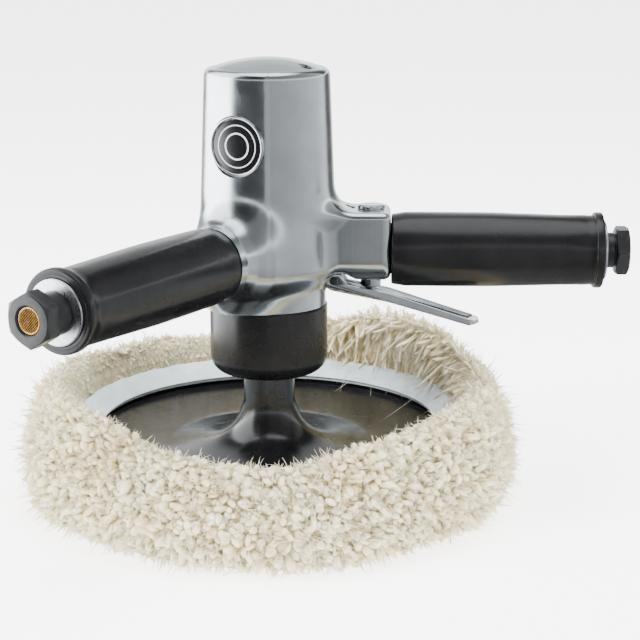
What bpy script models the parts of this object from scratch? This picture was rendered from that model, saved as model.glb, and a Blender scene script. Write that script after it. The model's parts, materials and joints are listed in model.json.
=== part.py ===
"""Air-driven rotary polisher with two side handles, a backing pad and a wool bonnet.

Metres, +Z up along the spindle. The origin is the centre of the polishing face.
+X runs along the inlet handle, the exhaust handle leaves at EXHAUST_TURN.
"""

import math

import bmesh
import bpy
from mathutils import Matrix, Vector

# Clearances
GAP = 0.0003
RUNNING = 0.0005

# How far a cutter runs past the surface it opens
OVERSHOOT = 0.005

# Smoothness of round pieces
FINE = 32
MEDIUM = 20
COARSE = 10

# Pad and bonnet, bottom to top
WOOL_UNDER_PAD = 0.0182
PAD_RADIUS = 0.089
PAD_RIM_HEIGHT = 0.032
PAD_THICKNESS = 0.0052
PAD_DISH_RADIUS = 0.052
PAD_DISH_DROP = 0.0080
PAD_HUB_RISE = 0.0225
PAD_FLOOR = 0.0035
BONNET_WRAP = 0.034
BONNET_HEIGHT = 0.0530
HEM_WIDTH = 0.013
HEM_THICKNESS = 0.0030
HEM_CLOTH = 0.0005
HEM_SLOPE = math.radians(38.0)
HEM_OVERLAP = 0.0025
STRING_RADIUS = 0.0007

# Motor bore, which sets the size of the housing, collar, gears and rotor
MOTOR_BORE = 0.0250
TOP_WALL = 0.0054
WAIST_WALL = 0.0092
SKIRT_WALL = 0.0034
COLLAR_WALL = 0.0043
SPIGOT_WALL = 0.0034
LINER_WALL = 0.0016
LINER_OFFSET = 0.0029
RING_WALL = 0.0012625

# Spindle and its bearings
SPINDLE_RADIUS = 0.00794
JOURNAL_STEP = 0.00206
INSERT_WALL = 0.00236
NECK_WALL = 0.0019
SEAL_WALL = 0.00366
SEAL_HEIGHT = 0.0036
SPINDLE_END = 0.027
BEARING_STEP = 0.0035
SPINDLE_BEARING_WIDTH = 0.011
BEARING_SPACING = 0.0010
COLLAR_BOTTOM = 0.062
COLLAR_TOP = 0.0964
COLLAR_FILLET = 0.0085
COLLAR_FLOOR = 0.0045
SPIGOT_LENGTH = 0.0053
NECK_TO_COLLAR = 0.0008

# Planetary reduction
SUN_TEETH = 12
PLANET_TEETH = 24
RING_TEETH = 2 * PLANET_TEETH + SUN_TEETH
PLANET_COUNT = 3
GEAR_WIDTH = 0.0080
DEDENDUM = 1.25
TOOTH_SHARE_ROOT = 0.61
TOOTH_SHARE_TIP = 0.21
PLANET_PIN_RADIUS = 0.0025
PIN_DEPTH = 0.0065

# Air motor
END_PLATE = 0.0070
UPPER_PLATE_EXTRA = 0.0020
TOP_ROOM = 0.0020
LINER_BORE_TURN = math.radians(300.0)
SHAFT_RADIUS = 0.0040
PINION_SHAFT_RADIUS = 0.0024
ROTOR_BEARING_RADIUS = 0.0095
ROTOR_BEARING_WIDTH = 0.0050
VANE_COUNT = 5
VANE_THICKNESS = 0.0022
VANE_DEPTH = 0.0075

# Housing
SKIRT_HEIGHT = 0.0080
RIM_HEIGHT = 0.2130
CROWN_WALL = 0.0064
RIM_FILLET = 0.0040
DOME_RISE = 0.0047
OIL_PLUG_TURN = math.radians(-33.0)
OIL_PLUG_INSET = 0.0079
OIL_PLUG_RADIUS = 0.0030
OIL_PLUG_LENGTH = 0.0070
OIL_PLUG_SINK = 0.0018

# Handles
HANDLE_HEIGHT = 0.1240
EXHAUST_TURN = math.radians(240.0)
HANDLE_REACH = 0.1768
GRIP_RADIUS = 0.0182
GRIP_WALL = 0.0034
STUB_LENGTH = 0.0140
STUB_ROOM = 0.0028
STUB_WALL = 0.0030
TUBE_STEP = 0.0010
GRIP_TO_BLOCK = 0.0013
INLET_END_LENGTH = 0.0125
EXHAUST_BOSS_OUT = 0.0233
EXHAUST_END_LENGTH = 0.0179
TUBE_PROUD = 0.0012
INLET_HEX_FLATS = 0.0220
INLET_HEX_LENGTH = 0.0064
INLET_NECK_STEP = 0.0006
INLET_BUSHING_WALL = 0.0023
EXHAUST_HEX_FLATS = 0.0215
EXHAUST_HEX_LENGTH = 0.0080
EXHAUST_NECK_STEP = 0.0015
EXHAUST_BUSHING_WALL = 0.0018
BUSHING_THREAD_LENGTH = 0.0140
SCREEN_RECESS = 0.0012
SCREEN_THICKNESS = 0.0008
SILENCER_LENGTH = 0.060
SILENCER_WALL = 0.0035

# Throttle block and valve
BLOCK_HALF_DEPTH = 0.0160
BLOCK_RISE = 0.0202
BLOCK_DROP = 0.0145
BLOCK_STEP = 0.0039
BLOCK_EDGE = 0.0035
BLOCK_PAST_VALVE = 0.0096
VALVE_FROM_PIVOT = 0.0183
VALVE_BORE = 0.0062
VALVE_LEDGE = 0.0012
SEAT_HEIGHT = 0.0020
AIR_PASSAGE = 0.0030
PLUNGER_RADIUS = 0.0025
PLUNGER_REACH = 0.0075
VALVE_HEAD_RADIUS = 0.0043
VALVE_HEAD_HEIGHT = 0.0035
GUIDE_WALL = 0.0022
GUIDE_DROP = 0.0041
GUIDE_SPIGOT_STEP = 0.0008
GUIDE_SPIGOT_LENGTH = 0.0042
CAP_LIP = 0.0005
CAP_PROUD = 0.0020
CAP_THREAD = 0.0055
CAP_NOTCHES = 6
SPRING_WIRE = 0.00045
SPRING_TURNS = 5
REGULATOR_FROM_VALVE = 0.0103
REGULATOR_RADIUS = 0.0022

# Lever
PIVOT_OUT = 0.0075
PIVOT_DROP = 0.0148
PIN_RADIUS = 0.0019
LEVER_HALF_WIDTH = 0.0079
LEVER_SHEET = 0.0014
LEVER_FLANGE = 0.0044
LEVER_LENGTH = 0.0720
LEVER_BEND = 0.0275
LEVER_FIRST_SLOPE = 0.203
LEVER_SECOND_SLOPE = 0.290
LUG_ROOM = 0.0013
LUG_DROP = 0.0032
LEVER_CUT = 0.0200
PIN_HOLE_REACH = 0.0300

# Badge, on a flat seat cut in the housing's wall
BADGE_TURN = math.radians(-115.5)
BADGE_DROP = 0.0350
BADGE_RADIUS = 0.0144
BADGE_RING = 0.0015
BADGE_THICKNESS = 0.0014
BADGE_SEAT_WALL = 0.0037

# Radii worked out from the sizes above
HOUSING_TOP_RADIUS = MOTOR_BORE + TOP_WALL
HOUSING_WAIST_RADIUS = MOTOR_BORE + WAIST_WALL
SKIRT_RADIUS = MOTOR_BORE + SKIRT_WALL
COLLAR_RADIUS = MOTOR_BORE + COLLAR_WALL
SPIGOT_RADIUS = MOTOR_BORE - GAP
UPPER_BEARING_RADIUS = SPIGOT_RADIUS - SPIGOT_WALL - GAP
LOWER_BEARING_RADIUS = UPPER_BEARING_RADIUS - BEARING_STEP
JOURNAL_RADIUS = SPINDLE_RADIUS + JOURNAL_STEP
INSERT_RADIUS = SPINDLE_RADIUS + GAP + INSERT_WALL
NECK_RADIUS = INSERT_RADIUS + GAP + NECK_WALL
SEAL_RADIUS = SPINDLE_RADIUS + GAP + SEAL_WALL
LINER_BORE = SPIGOT_RADIUS - LINER_WALL - LINER_OFFSET
ROTOR_RADIUS = LINER_BORE - LINER_OFFSET - GAP
GEAR_MODULE = (SPIGOT_RADIUS - RING_WALL) / (RING_TEETH / 2.0 + DEDENDUM)
SUN_PITCH = GEAR_MODULE * SUN_TEETH / 2.0
PLANET_PITCH = GEAR_MODULE * PLANET_TEETH / 2.0
RING_PITCH = GEAR_MODULE * RING_TEETH / 2.0
PLANET_ORBIT = SUN_PITCH + PLANET_PITCH
TUBE_RADIUS = GRIP_RADIUS - GRIP_WALL - GAP
STUB_RADIUS = GRIP_RADIUS - GRIP_WALL - STUB_ROOM
STUB_THREAD = STUB_RADIUS - STUB_WALL
TUBE_BORE = STUB_THREAD - TUBE_STEP
INLET_NECK_RADIUS = TUBE_BORE + INLET_NECK_STEP
EXHAUST_NECK_RADIUS = TUBE_BORE + EXHAUST_NECK_STEP
INLET_BORE = TUBE_BORE - INLET_BUSHING_WALL
EXHAUST_BORE = TUBE_BORE - EXHAUST_BUSHING_WALL
VALVE_LOWER_BORE = VALVE_BORE - VALVE_LEDGE
STEM_HOLE = PLUNGER_RADIUS + GAP
GUIDE_RADIUS = STEM_HOLE + GUIDE_WALL
GUIDE_SPIGOT = GUIDE_RADIUS - GUIDE_SPIGOT_STEP
CAP_RADIUS = VALVE_BORE + CAP_LIP
BONNET_RADIUS = PAD_RADIUS + BONNET_WRAP
LUG_HALF_WIDTH = LEVER_HALF_WIDTH - LEVER_SHEET - LUG_ROOM

# Heights and distances worked out from the stack
COLLAR_SPIGOT_TOP = COLLAR_TOP + SPIGOT_LENGTH
NECK_TOP = COLLAR_BOTTOM - NECK_TO_COLLAR
LOWER_BEARING_BOTTOM = COLLAR_BOTTOM + COLLAR_FLOOR + GAP
UPPER_BEARING_BOTTOM = LOWER_BEARING_BOTTOM + SPINDLE_BEARING_WIDTH + BEARING_SPACING
CARRIER_BOTTOM = UPPER_BEARING_BOTTOM + SPINDLE_BEARING_WIDTH + RUNNING
CARRIER_TOP = COLLAR_SPIGOT_TOP - GAP
RING_BOTTOM = COLLAR_SPIGOT_TOP + GAP
RING_TOP = RING_BOTTOM + GEAR_WIDTH
LOWER_PLATE_BOTTOM = RING_TOP + GAP
LOWER_PLATE_TOP = LOWER_PLATE_BOTTOM + END_PLATE
LINER_BOTTOM = LOWER_PLATE_TOP + GAP
BORE_TOP = RIM_HEIGHT - CROWN_WALL
UPPER_PLATE_TOP = BORE_TOP - TOP_ROOM
UPPER_PLATE_BOTTOM = UPPER_PLATE_TOP - END_PLATE - UPPER_PLATE_EXTRA
LINER_TOP = UPPER_PLATE_BOTTOM - GAP
HOUSING_BOTTOM = COLLAR_TOP + GAP
BLOCK_TOP = HANDLE_HEIGHT + BLOCK_RISE
BLOCK_BOTTOM = HANDLE_HEIGHT - BLOCK_DROP
LUG_TOP = BLOCK_BOTTOM + BLOCK_STEP
PIVOT_Z = HANDLE_HEIGHT - PIVOT_DROP
SEAT_BOTTOM = HANDLE_HEIGHT
SEAT_TOP = SEAT_BOTTOM + SEAT_HEIGHT
PASSAGE_HEIGHT = SEAT_BOTTOM - 2.0 * GAP - AIR_PASSAGE
PLUNGER_TIP = BLOCK_BOTTOM - PLUNGER_REACH
CAP_BOTTOM = BLOCK_TOP - CAP_THREAD
PIVOT_X = MOTOR_BORE + PIVOT_OUT
VALVE_X = PIVOT_X + VALVE_FROM_PIVOT
REGULATOR_X = VALVE_X - REGULATOR_FROM_VALVE
BLOCK_END = VALVE_X + BLOCK_PAST_VALVE
LEVER_TIP_X = PIVOT_X + LEVER_LENGTH
LEVER_BEND_X = PIVOT_X + LEVER_BEND
INLET_GRIP_START = BLOCK_END + GRIP_TO_BLOCK
INLET_GRIP_END = HANDLE_REACH - INLET_END_LENGTH
EXHAUST_GRIP_START = MOTOR_BORE + EXHAUST_BOSS_OUT
EXHAUST_GRIP_END = HANDLE_REACH - EXHAUST_END_LENGTH
OIL_PLUG_OFFSET = HOUSING_TOP_RADIUS - OIL_PLUG_INSET
BADGE_HEIGHT = RIM_HEIGHT - BADGE_DROP


def clear_scene():
    """Remove every object the file starts with."""
    for thing in list(bpy.data.objects):
        bpy.data.objects.remove(thing, do_unlink=True)


def material(name, colour, roughness, metallic):
    """Return a Principled material, made once for each name."""
    found = bpy.data.materials.get(name)
    if found is not None:
        return found
    made = bpy.data.materials.new(name)
    made.use_nodes = True
    shader = made.node_tree.nodes["Principled BSDF"]
    shader.inputs["Base Color"].default_value = (*colour, 1.0)
    shader.inputs["Roughness"].default_value = roughness
    shader.inputs["Metallic"].default_value = metallic
    return made


def cast_aluminium():
    return material("cast_aluminium", (0.62, 0.65, 0.68), 0.28, 1.0)


def black_oxide():
    return material("black_oxide", (0.05, 0.055, 0.055), 0.35, 0.8)


def black_enamel():
    return material("black_enamel", (0.015, 0.015, 0.017), 0.25, 0.0)


def grip_rubber():
    return material("grip_rubber", (0.02, 0.02, 0.024), 0.35, 0.0)


def pad_rubber():
    return material("pad_rubber", (0.02, 0.02, 0.022), 0.3, 0.0)


def steel():
    return material("steel", (0.56, 0.57, 0.58), 0.3, 1.0)


def bearing_steel():
    return material("bearing_steel", (0.7, 0.7, 0.72), 0.2, 1.0)


def plated_steel():
    return material("plated_steel", (0.74, 0.74, 0.75), 0.22, 1.0)


def brass():
    return material("brass", (0.62, 0.46, 0.2), 0.4, 1.0)


def phenolic():
    return material("phenolic", (0.25, 0.13, 0.06), 0.6, 0.0)


def seal_rubber():
    return material("seal_rubber", (0.03, 0.03, 0.03), 0.6, 0.0)


def felt():
    return material("felt", (0.45, 0.43, 0.38), 0.95, 0.0)


def wool():
    return material("wool", (0.9, 0.86, 0.74), 1.0, 0.0)


def hem_cloth():
    return material("hem_cloth", (0.6, 0.65, 0.68), 0.85, 0.0)


def cord_cotton():
    return material("cord_cotton", (0.8, 0.78, 0.7), 0.9, 0.0)


def badge_enamel():
    return material("badge_enamel", (0.01, 0.01, 0.012), 0.2, 0.0)


def add_object(name, mesh_data, finish, smooth=True):
    """Put a bmesh in the scene as a named object with one material."""
    bmesh.ops.recalc_face_normals(mesh_data, faces=mesh_data.faces)
    mesh = bpy.data.meshes.new(name)
    mesh_data.to_mesh(mesh)
    mesh_data.free()
    if finish is not None:
        mesh.materials.append(finish)
    if smooth:
        mesh.shade_smooth()
        mesh.set_sharp_from_angle(angle=math.radians(35.0))
    thing = bpy.data.objects.new(name, mesh)
    bpy.context.scene.collection.objects.link(thing)
    return thing


def lathe(outline, segments):
    """Turn a closed outline of (radius, height) points about Z into a bmesh."""
    shape = bmesh.new()
    columns = []
    for radius, height in outline:
        if radius < 1e-9:
            columns.append([shape.verts.new((0.0, 0.0, height))])
            continue
        ring = []
        for step in range(segments):
            turn = 2.0 * math.pi * step / segments
            ring.append(shape.verts.new((radius * math.cos(turn), radius * math.sin(turn), height)))
        columns.append(ring)
    for here, there in zip(columns, columns[1:] + columns[:1]):
        for step in range(segments):
            after = (step + 1) % segments
            if len(here) == 1 and len(there) == 1:
                continue
            if len(here) == 1:
                shape.faces.new((here[0], there[step], there[after]))
            elif len(there) == 1:
                shape.faces.new((here[step], here[after], there[0]))
            else:
                shape.faces.new((here[step], here[after], there[after], there[step]))
    return shape


def turned(name, outline, finish, segments=MEDIUM):
    """Add a turned piece; the outline is a closed loop of (radius, height)."""
    return add_object(name, lathe(outline, segments), finish)


def ring_outline(inner, outer, bottom, top):
    """Return the outline of a plain ring."""
    return [(inner, bottom), (outer, bottom), (outer, top), (inner, top)]


def rod_outline(radius, bottom, top):
    """Return the outline of a plain rod."""
    return [(0.0, bottom), (radius, bottom), (radius, top), (0.0, top)]


def arc(centre, radius, start_deg, end_deg, steps):
    """Return points on an arc about centre, both ends included."""
    points = []
    for step in range(steps + 1):
        turn = math.radians(start_deg + (end_deg - start_deg) * step / steps)
        points.append((centre[0] + radius * math.cos(turn), centre[1] + radius * math.sin(turn)))
    return points


def prism(name, outline, low, high, finish, plane="XY"):
    """Extrude a flat outline between low and high, across the named plane."""
    shape = bmesh.new()
    lower = []
    for first, second in outline:
        spot = (first, second, low) if plane == "XY" else (first, low, second)
        lower.append(shape.verts.new(spot))
    face = shape.faces.new(lower)
    grown = bmesh.ops.extrude_face_region(shape, geom=[face])
    moved = [item for item in grown["geom"] if isinstance(item, bmesh.types.BMVert)]
    travel = high - low
    shift = Vector((0.0, 0.0, travel)) if plane == "XY" else Vector((0.0, travel, 0.0))
    bmesh.ops.translate(shape, verts=moved, vec=shift)
    return add_object(name, shape, finish, smooth=False)


def hide_tool(tool):
    """Mark an object as a cutter or guide that isn't part of the model."""
    tool.display_type = "WIRE"
    tool.hide_render = True


def combine(target, tool, operation):
    """Add an exact Boolean modifier to target."""
    step = target.modifiers.new(tool.name, "BOOLEAN")
    step.operation = operation
    step.solver = "EXACT"
    step.object = tool
    hide_tool(tool)


def cut(target, tool):
    """Take the tool's shape out of target."""
    combine(target, tool, "DIFFERENCE")


def bevel(target, width, segments):
    """Round the sharp edges of target."""
    step = target.modifiers.new("edges", "BEVEL")
    step.width = width
    step.segments = segments
    step.limit_method = "ANGLE"
    step.angle_limit = math.radians(40.0)


def handle_empty(name, turn):
    """Return an empty whose Z axis runs along a handle."""
    empty = bpy.data.objects.new(name, None)
    empty.location = (0.0, 0.0, HANDLE_HEIGHT)
    empty.rotation_euler = (0.0, math.pi / 2.0, turn)
    bpy.context.scene.collection.objects.link(empty)
    return empty


def upright_empty(name, x, y, z=0.0):
    """Return an empty on a vertical joint axis."""
    empty = bpy.data.objects.new(name, None)
    empty.location = (x, y, z)
    bpy.context.scene.collection.objects.link(empty)
    return empty


def on_handle(thing, empty):
    """Carry a piece, made along Z, on a handle."""
    thing.parent = empty
    return thing


def gear_outline(teeth, pitch, outward):
    """Return the outline of straight-sided teeth; tooth 0 is centred on +X."""
    addendum = GEAR_MODULE
    dedendum = DEDENDUM * GEAR_MODULE
    tip = pitch + addendum if outward else pitch - addendum
    root = pitch - dedendum if outward else pitch + dedendum
    pace = 2.0 * math.pi / teeth
    points = []
    for tooth in range(teeth):
        middle = pace * tooth
        for radius, share in (
            (root, -TOOTH_SHARE_ROOT),
            (tip, -TOOTH_SHARE_TIP),
            (tip, TOOTH_SHARE_TIP),
            (root, TOOTH_SHARE_ROOT),
        ):
            turn = middle + share * pace / 2.0
            points.append((radius * math.cos(turn), radius * math.sin(turn)))
    return points


def turn_points(points, angle):
    """Return flat points turned about the origin."""
    spin = Matrix.Rotation(angle, 2)
    return [tuple(spin @ Vector(point)) for point in points]


def housing_radius(height):
    """Return the outer radius of the housing's drafted wall at a height."""
    share = (height - HANDLE_HEIGHT) / (RIM_HEIGHT - HANDLE_HEIGHT)
    return HOUSING_WAIST_RADIUS + (HOUSING_TOP_RADIUS - HOUSING_WAIST_RADIUS) * share


def housing_shell():
    """Return the drafted round body with its dome and skirt."""
    shoulder = RIM_HEIGHT - RIM_FILLET
    edge = housing_radius(shoulder)
    flare = HOUSING_BOTTOM + SKIRT_HEIGHT
    outline = [(0.0, HOUSING_BOTTOM), (SKIRT_RADIUS, HOUSING_BOTTOM), (SKIRT_RADIUS, flare)]
    swell = HOUSING_WAIST_RADIUS - SKIRT_RADIUS
    rise = HANDLE_HEIGHT - BLOCK_DROP * 0.45 - flare
    for step in range(1, 4):
        share = step / 3.0
        ease = share * share * (3.0 - 2.0 * share)
        outline.append((SKIRT_RADIUS + swell * ease, flare + rise * share))
    outline.append((edge, shoulder))
    outline += arc((edge - RIM_FILLET, shoulder), RIM_FILLET, 20.0, 70.0, 2)
    crown = edge - RIM_FILLET
    for step in range(4):
        share = step / 4.0
        outline.append((crown * (1.0 - share), RIM_HEIGHT + DOME_RISE * (1.0 - (1.0 - share) ** 2)))
    outline.append((0.0, RIM_HEIGHT + DOME_RISE))
    return turned("motor_housing", outline, cast_aluminium(), FINE)


def throttle_block():
    """Return the block that carries the valve, on the inlet side."""
    inner = SKIRT_RADIUS - 0.010
    step_end = PIVOT_X + 0.0060
    outline = [
        (inner, LUG_TOP),
        (step_end, LUG_TOP),
        (step_end + BLOCK_STEP * 1.4, BLOCK_BOTTOM),
        (BLOCK_END, BLOCK_BOTTOM),
        (BLOCK_END, BLOCK_TOP),
        (inner, BLOCK_TOP),
    ]
    block = prism("throttle_block", outline, -BLOCK_HALF_DEPTH, BLOCK_HALF_DEPTH, None, "XZ")
    bevel(block, BLOCK_EDGE, 2)
    return block


def lever_lug():
    """Return the lug between the lever's ears."""
    inner = MOTOR_BORE - 0.004
    foot = PIVOT_Z - LUG_DROP
    nose = PIVOT_X + 0.0046
    outline = [
        (inner, foot),
        (nose - 0.002, foot),
        (nose, foot + 0.002),
        (nose, LUG_TOP + 0.004),
        (inner, LUG_TOP + 0.004),
    ]
    return prism("lever_lug", outline, -LUG_HALF_WIDTH, LUG_HALF_WIDTH, None, "XZ")


def exhaust_boss(empty):
    """Return the boss that the exhaust grip butts against, with its stub."""
    outline = [
        (0.0, MOTOR_BORE * 0.5),
        (GRIP_RADIUS + 0.0053, MOTOR_BORE * 0.5),
        (GRIP_RADIUS + 0.0043, EXHAUST_GRIP_START - 0.0193),
        (GRIP_RADIUS + 0.0003, EXHAUST_GRIP_START - 0.0123),
        (GRIP_RADIUS - 0.0006, EXHAUST_GRIP_START - GAP),
        (STUB_RADIUS, EXHAUST_GRIP_START - GAP),
        (STUB_RADIUS, EXHAUST_GRIP_START + STUB_LENGTH),
        (0.0, EXHAUST_GRIP_START + STUB_LENGTH),
    ]
    return on_handle(turned("exhaust_boss", outline, None, MEDIUM), empty)


def inlet_stub(empty):
    """Return the stub inside the inlet grip."""
    outline = rod_outline(STUB_RADIUS, BLOCK_END - 0.004, INLET_GRIP_START + STUB_LENGTH)
    return on_handle(turned("inlet_stub", outline, None, MEDIUM), empty)


def bore_cutter(name, radius, bottom, top, x=0.0, y=0.0, segments=COARSE):
    """Return an upright round cutter."""
    tool = turned(name, rod_outline(radius, bottom, top), None, segments)
    tool.location = (x, y, 0.0)
    return tool


def box_cutter(name, low, high):
    """Return a box cutter between two corners."""
    outline = [(low[0], low[1]), (high[0], low[1]), (high[0], high[1]), (low[0], high[1])]
    return prism(name, outline, low[2], high[2], None)


def motor_housing(inlet, exhaust, badge_axis):
    """Make the aluminium casting: body, throttle block, boss, stubs and bores."""
    body = housing_shell()
    for piece in (throttle_block(), lever_lug(), exhaust_boss(exhaust), inlet_stub(inlet)):
        combine(body, piece, "UNION")
    thread_start = EXHAUST_GRIP_START - 0.008
    passage = [
        (0.0, MOTOR_BORE - 0.003),
        (exhaust_passage(), MOTOR_BORE - 0.003),
        (exhaust_passage(), thread_start),
        (STUB_THREAD, thread_start),
        (STUB_THREAD, EXHAUST_GRIP_START + STUB_LENGTH + 0.002),
        (0.0, EXHAUST_GRIP_START + STUB_LENGTH + 0.002),
    ]
    cut(body, on_handle(turned("exhaust_passage", passage, None, MEDIUM), exhaust))
    cut(body, bore_cutter("motor_bore", MOTOR_BORE, HOUSING_BOTTOM - OVERSHOOT, BORE_TOP, segments=FINE))
    valve_well = turned("valve_well", valve_well_outline(), None, COARSE)
    valve_well.location = (VALVE_X, 0.0, 0.0)
    cut(body, valve_well)
    cut(body, bore_cutter("regulator_bore", REGULATOR_RADIUS + GAP, PASSAGE_HEIGHT,
                          BLOCK_TOP + OVERSHOOT, REGULATOR_X))
    motor_passage = rod_outline(AIR_PASSAGE, MOTOR_BORE - 0.003, VALVE_X - VALVE_LOWER_BORE + 0.001)
    tool = on_handle(turned("motor_passage", motor_passage, None, COARSE), inlet)
    tool.location = (HANDLE_HEIGHT - PASSAGE_HEIGHT, 0.0, 0.0)
    cut(body, tool)
    feed = rod_outline(AIR_PASSAGE, VALVE_X, BLOCK_END + 0.004)
    tool = on_handle(turned("inlet_feed", feed, None, COARSE), inlet)
    tool.location = (-(SEAT_TOP + AIR_PASSAGE - HANDLE_HEIGHT), 0.0, 0.0)
    cut(body, tool)
    thread = rod_outline(STUB_THREAD, VALVE_X + VALVE_BORE + 0.0015, INLET_GRIP_START + STUB_LENGTH + 0.002)
    cut(body, on_handle(turned("inlet_thread", thread, None, MEDIUM), inlet))
    for side in (-1.0, 1.0):
        near = LUG_HALF_WIDTH + GAP
        far = LEVER_HALF_WIDTH + 3.0 * GAP
        low = (MOTOR_BORE + 0.0013, min(side * near, side * far), HOUSING_BOTTOM + SKIRT_HEIGHT - 0.0012)
        high = (PIVOT_X + 0.0150, max(side * near, side * far), LUG_TOP)
        cut(body, box_cutter(f"ear_slot_{int(side)}", low, high))
    hole_outline = rod_outline(PIN_RADIUS + GAP, -PIN_HOLE_REACH, PIN_HOLE_REACH)
    pin_hole = turned("lug_hole", hole_outline, None, COARSE)
    pin_hole.rotation_euler = (math.pi / 2.0, 0.0, 0.0)
    pin_hole.location = (PIVOT_X, 0.0, PIVOT_Z)
    cut(body, pin_hole)
    x, y, top = oil_plug_seat()
    cut(body, bore_cutter("plug_hole", OIL_PLUG_RADIUS + GAP, top - OIL_PLUG_LENGTH - GAP,
                          RIM_HEIGHT + DOME_RISE + OVERSHOOT, x, y, COARSE))
    cut(body, badge_seat(badge_axis))
    # The exact solver leaves open edges where the passages meet the bore.
    for step in body.modifiers:
        step.solver = "MANIFOLD"
    return body


def valve_well_outline():
    """Return the stepped bore of the valve: guide, lower chamber, upper chamber."""
    guide = GUIDE_SPIGOT + GAP
    ledge = BLOCK_BOTTOM + GUIDE_SPIGOT_LENGTH
    seat = SEAT_BOTTOM - GAP
    return [
        (0.0, BLOCK_BOTTOM - OVERSHOOT),
        (guide, BLOCK_BOTTOM - OVERSHOOT),
        (guide, ledge),
        (VALVE_LOWER_BORE, ledge),
        (VALVE_LOWER_BORE, seat),
        (VALVE_BORE, seat),
        (VALVE_BORE, BLOCK_TOP + OVERSHOOT),
        (0.0, BLOCK_TOP + OVERSHOOT),
    ]


def exhaust_passage():
    """Return the radius of the exhaust passage, inside the liner's lower end."""
    return min(0.0058, HANDLE_HEIGHT - LINER_BOTTOM - 0.0005)


def oil_plug_seat():
    """Return the oil plug's place and the height of its top face."""
    x = OIL_PLUG_OFFSET * math.cos(OIL_PLUG_TURN)
    y = OIL_PLUG_OFFSET * math.sin(OIL_PLUG_TURN)
    crown = housing_radius(RIM_HEIGHT) - RIM_FILLET
    surface = RIM_HEIGHT + DOME_RISE * (1.0 - (OIL_PLUG_OFFSET / crown) ** 2)
    return x, y, surface - OIL_PLUG_SINK


def oil_plug():
    """Make the socket-headed plug of the oil reservoir."""
    x, y, top = oil_plug_seat()
    outline = rod_outline(OIL_PLUG_RADIUS, top - OIL_PLUG_LENGTH, top)
    plug = turned("oil_plug", outline, black_oxide(), COARSE)
    plug.location = (x, y, 0.0)
    socket = turned("plug_socket", rod_outline(OIL_PLUG_RADIUS * 0.5, top - 0.0025, top + 0.002), None, 6)
    socket.location = (x, y, 0.0)
    cut(plug, socket)


def bearing_collar():
    """Make the black collar that holds the spindle bearings and clamps the gears."""
    lower = LOWER_BEARING_RADIUS + GAP
    upper = UPPER_BEARING_RADIUS + GAP
    step = UPPER_BEARING_BOTTOM - GAP
    outline = [(SEAL_RADIUS + GAP, COLLAR_BOTTOM)]
    centre = (COLLAR_RADIUS - COLLAR_FILLET, COLLAR_BOTTOM + COLLAR_FILLET)
    outline += arc(centre, COLLAR_FILLET, -90.0, 0.0, 4)
    outline += [
        (COLLAR_RADIUS, COLLAR_TOP),
        (SPIGOT_RADIUS, COLLAR_TOP),
        (SPIGOT_RADIUS, COLLAR_SPIGOT_TOP),
        (upper, COLLAR_SPIGOT_TOP),
        (upper, step),
        (lower, step),
        (lower, LOWER_BEARING_BOTTOM - GAP),
        (SEAL_RADIUS + GAP, LOWER_BEARING_BOTTOM - GAP),
    ]
    turned("bearing_collar", outline, black_enamel(), FINE)


def bearings_and_seal():
    """Make the ball bearings as plain rings, and the spindle seal."""
    turned("spindle_seal", ring_outline(SPINDLE_RADIUS + GAP, SEAL_RADIUS, COLLAR_BOTTOM + GAP,
           COLLAR_BOTTOM + GAP + SEAL_HEIGHT), seal_rubber(), MEDIUM)
    turned("lower_spindle_bearing", ring_outline(SPINDLE_RADIUS + GAP, LOWER_BEARING_RADIUS,
           LOWER_BEARING_BOTTOM, LOWER_BEARING_BOTTOM + SPINDLE_BEARING_WIDTH), bearing_steel(), MEDIUM)
    turned("upper_spindle_bearing", ring_outline(JOURNAL_RADIUS + GAP, UPPER_BEARING_RADIUS,
           UPPER_BEARING_BOTTOM, UPPER_BEARING_BOTTOM + SPINDLE_BEARING_WIDTH), bearing_steel(), MEDIUM)
    low = LOWER_PLATE_BOTTOM + GAP
    turned("lower_rotor_bearing", ring_outline(SHAFT_RADIUS + GAP, ROTOR_BEARING_RADIUS, low,
           low + ROTOR_BEARING_WIDTH), bearing_steel(), COARSE)
    low = UPPER_PLATE_TOP - ROTOR_BEARING_WIDTH - GAP
    turned("upper_rotor_bearing", ring_outline(SHAFT_RADIUS + GAP, ROTOR_BEARING_RADIUS, low,
           low + ROTOR_BEARING_WIDTH), bearing_steel(), COARSE)


def end_plates():
    """Make the two plates that close the motor and hold the rotor bearings."""
    outer = SPIGOT_RADIUS
    pocket = ROTOR_BEARING_RADIUS + GAP
    hole = SHAFT_RADIUS + 0.0010
    floor = LOWER_PLATE_BOTTOM + GAP + ROTOR_BEARING_WIDTH + GAP
    outline = [
        (pocket, LOWER_PLATE_BOTTOM),
        (outer, LOWER_PLATE_BOTTOM),
        (outer, LOWER_PLATE_TOP),
        (hole, LOWER_PLATE_TOP),
        (hole, floor),
        (pocket, floor),
    ]
    turned("lower_end_plate", outline, steel(), MEDIUM)
    floor = UPPER_PLATE_TOP - ROTOR_BEARING_WIDTH - 2.0 * GAP
    outline = [
        (hole, UPPER_PLATE_BOTTOM),
        (outer, UPPER_PLATE_BOTTOM),
        (outer, UPPER_PLATE_TOP),
        (pocket, UPPER_PLATE_TOP),
        (pocket, floor),
        (hole, floor),
    ]
    turned("upper_end_plate", outline, steel(), MEDIUM)


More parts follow.
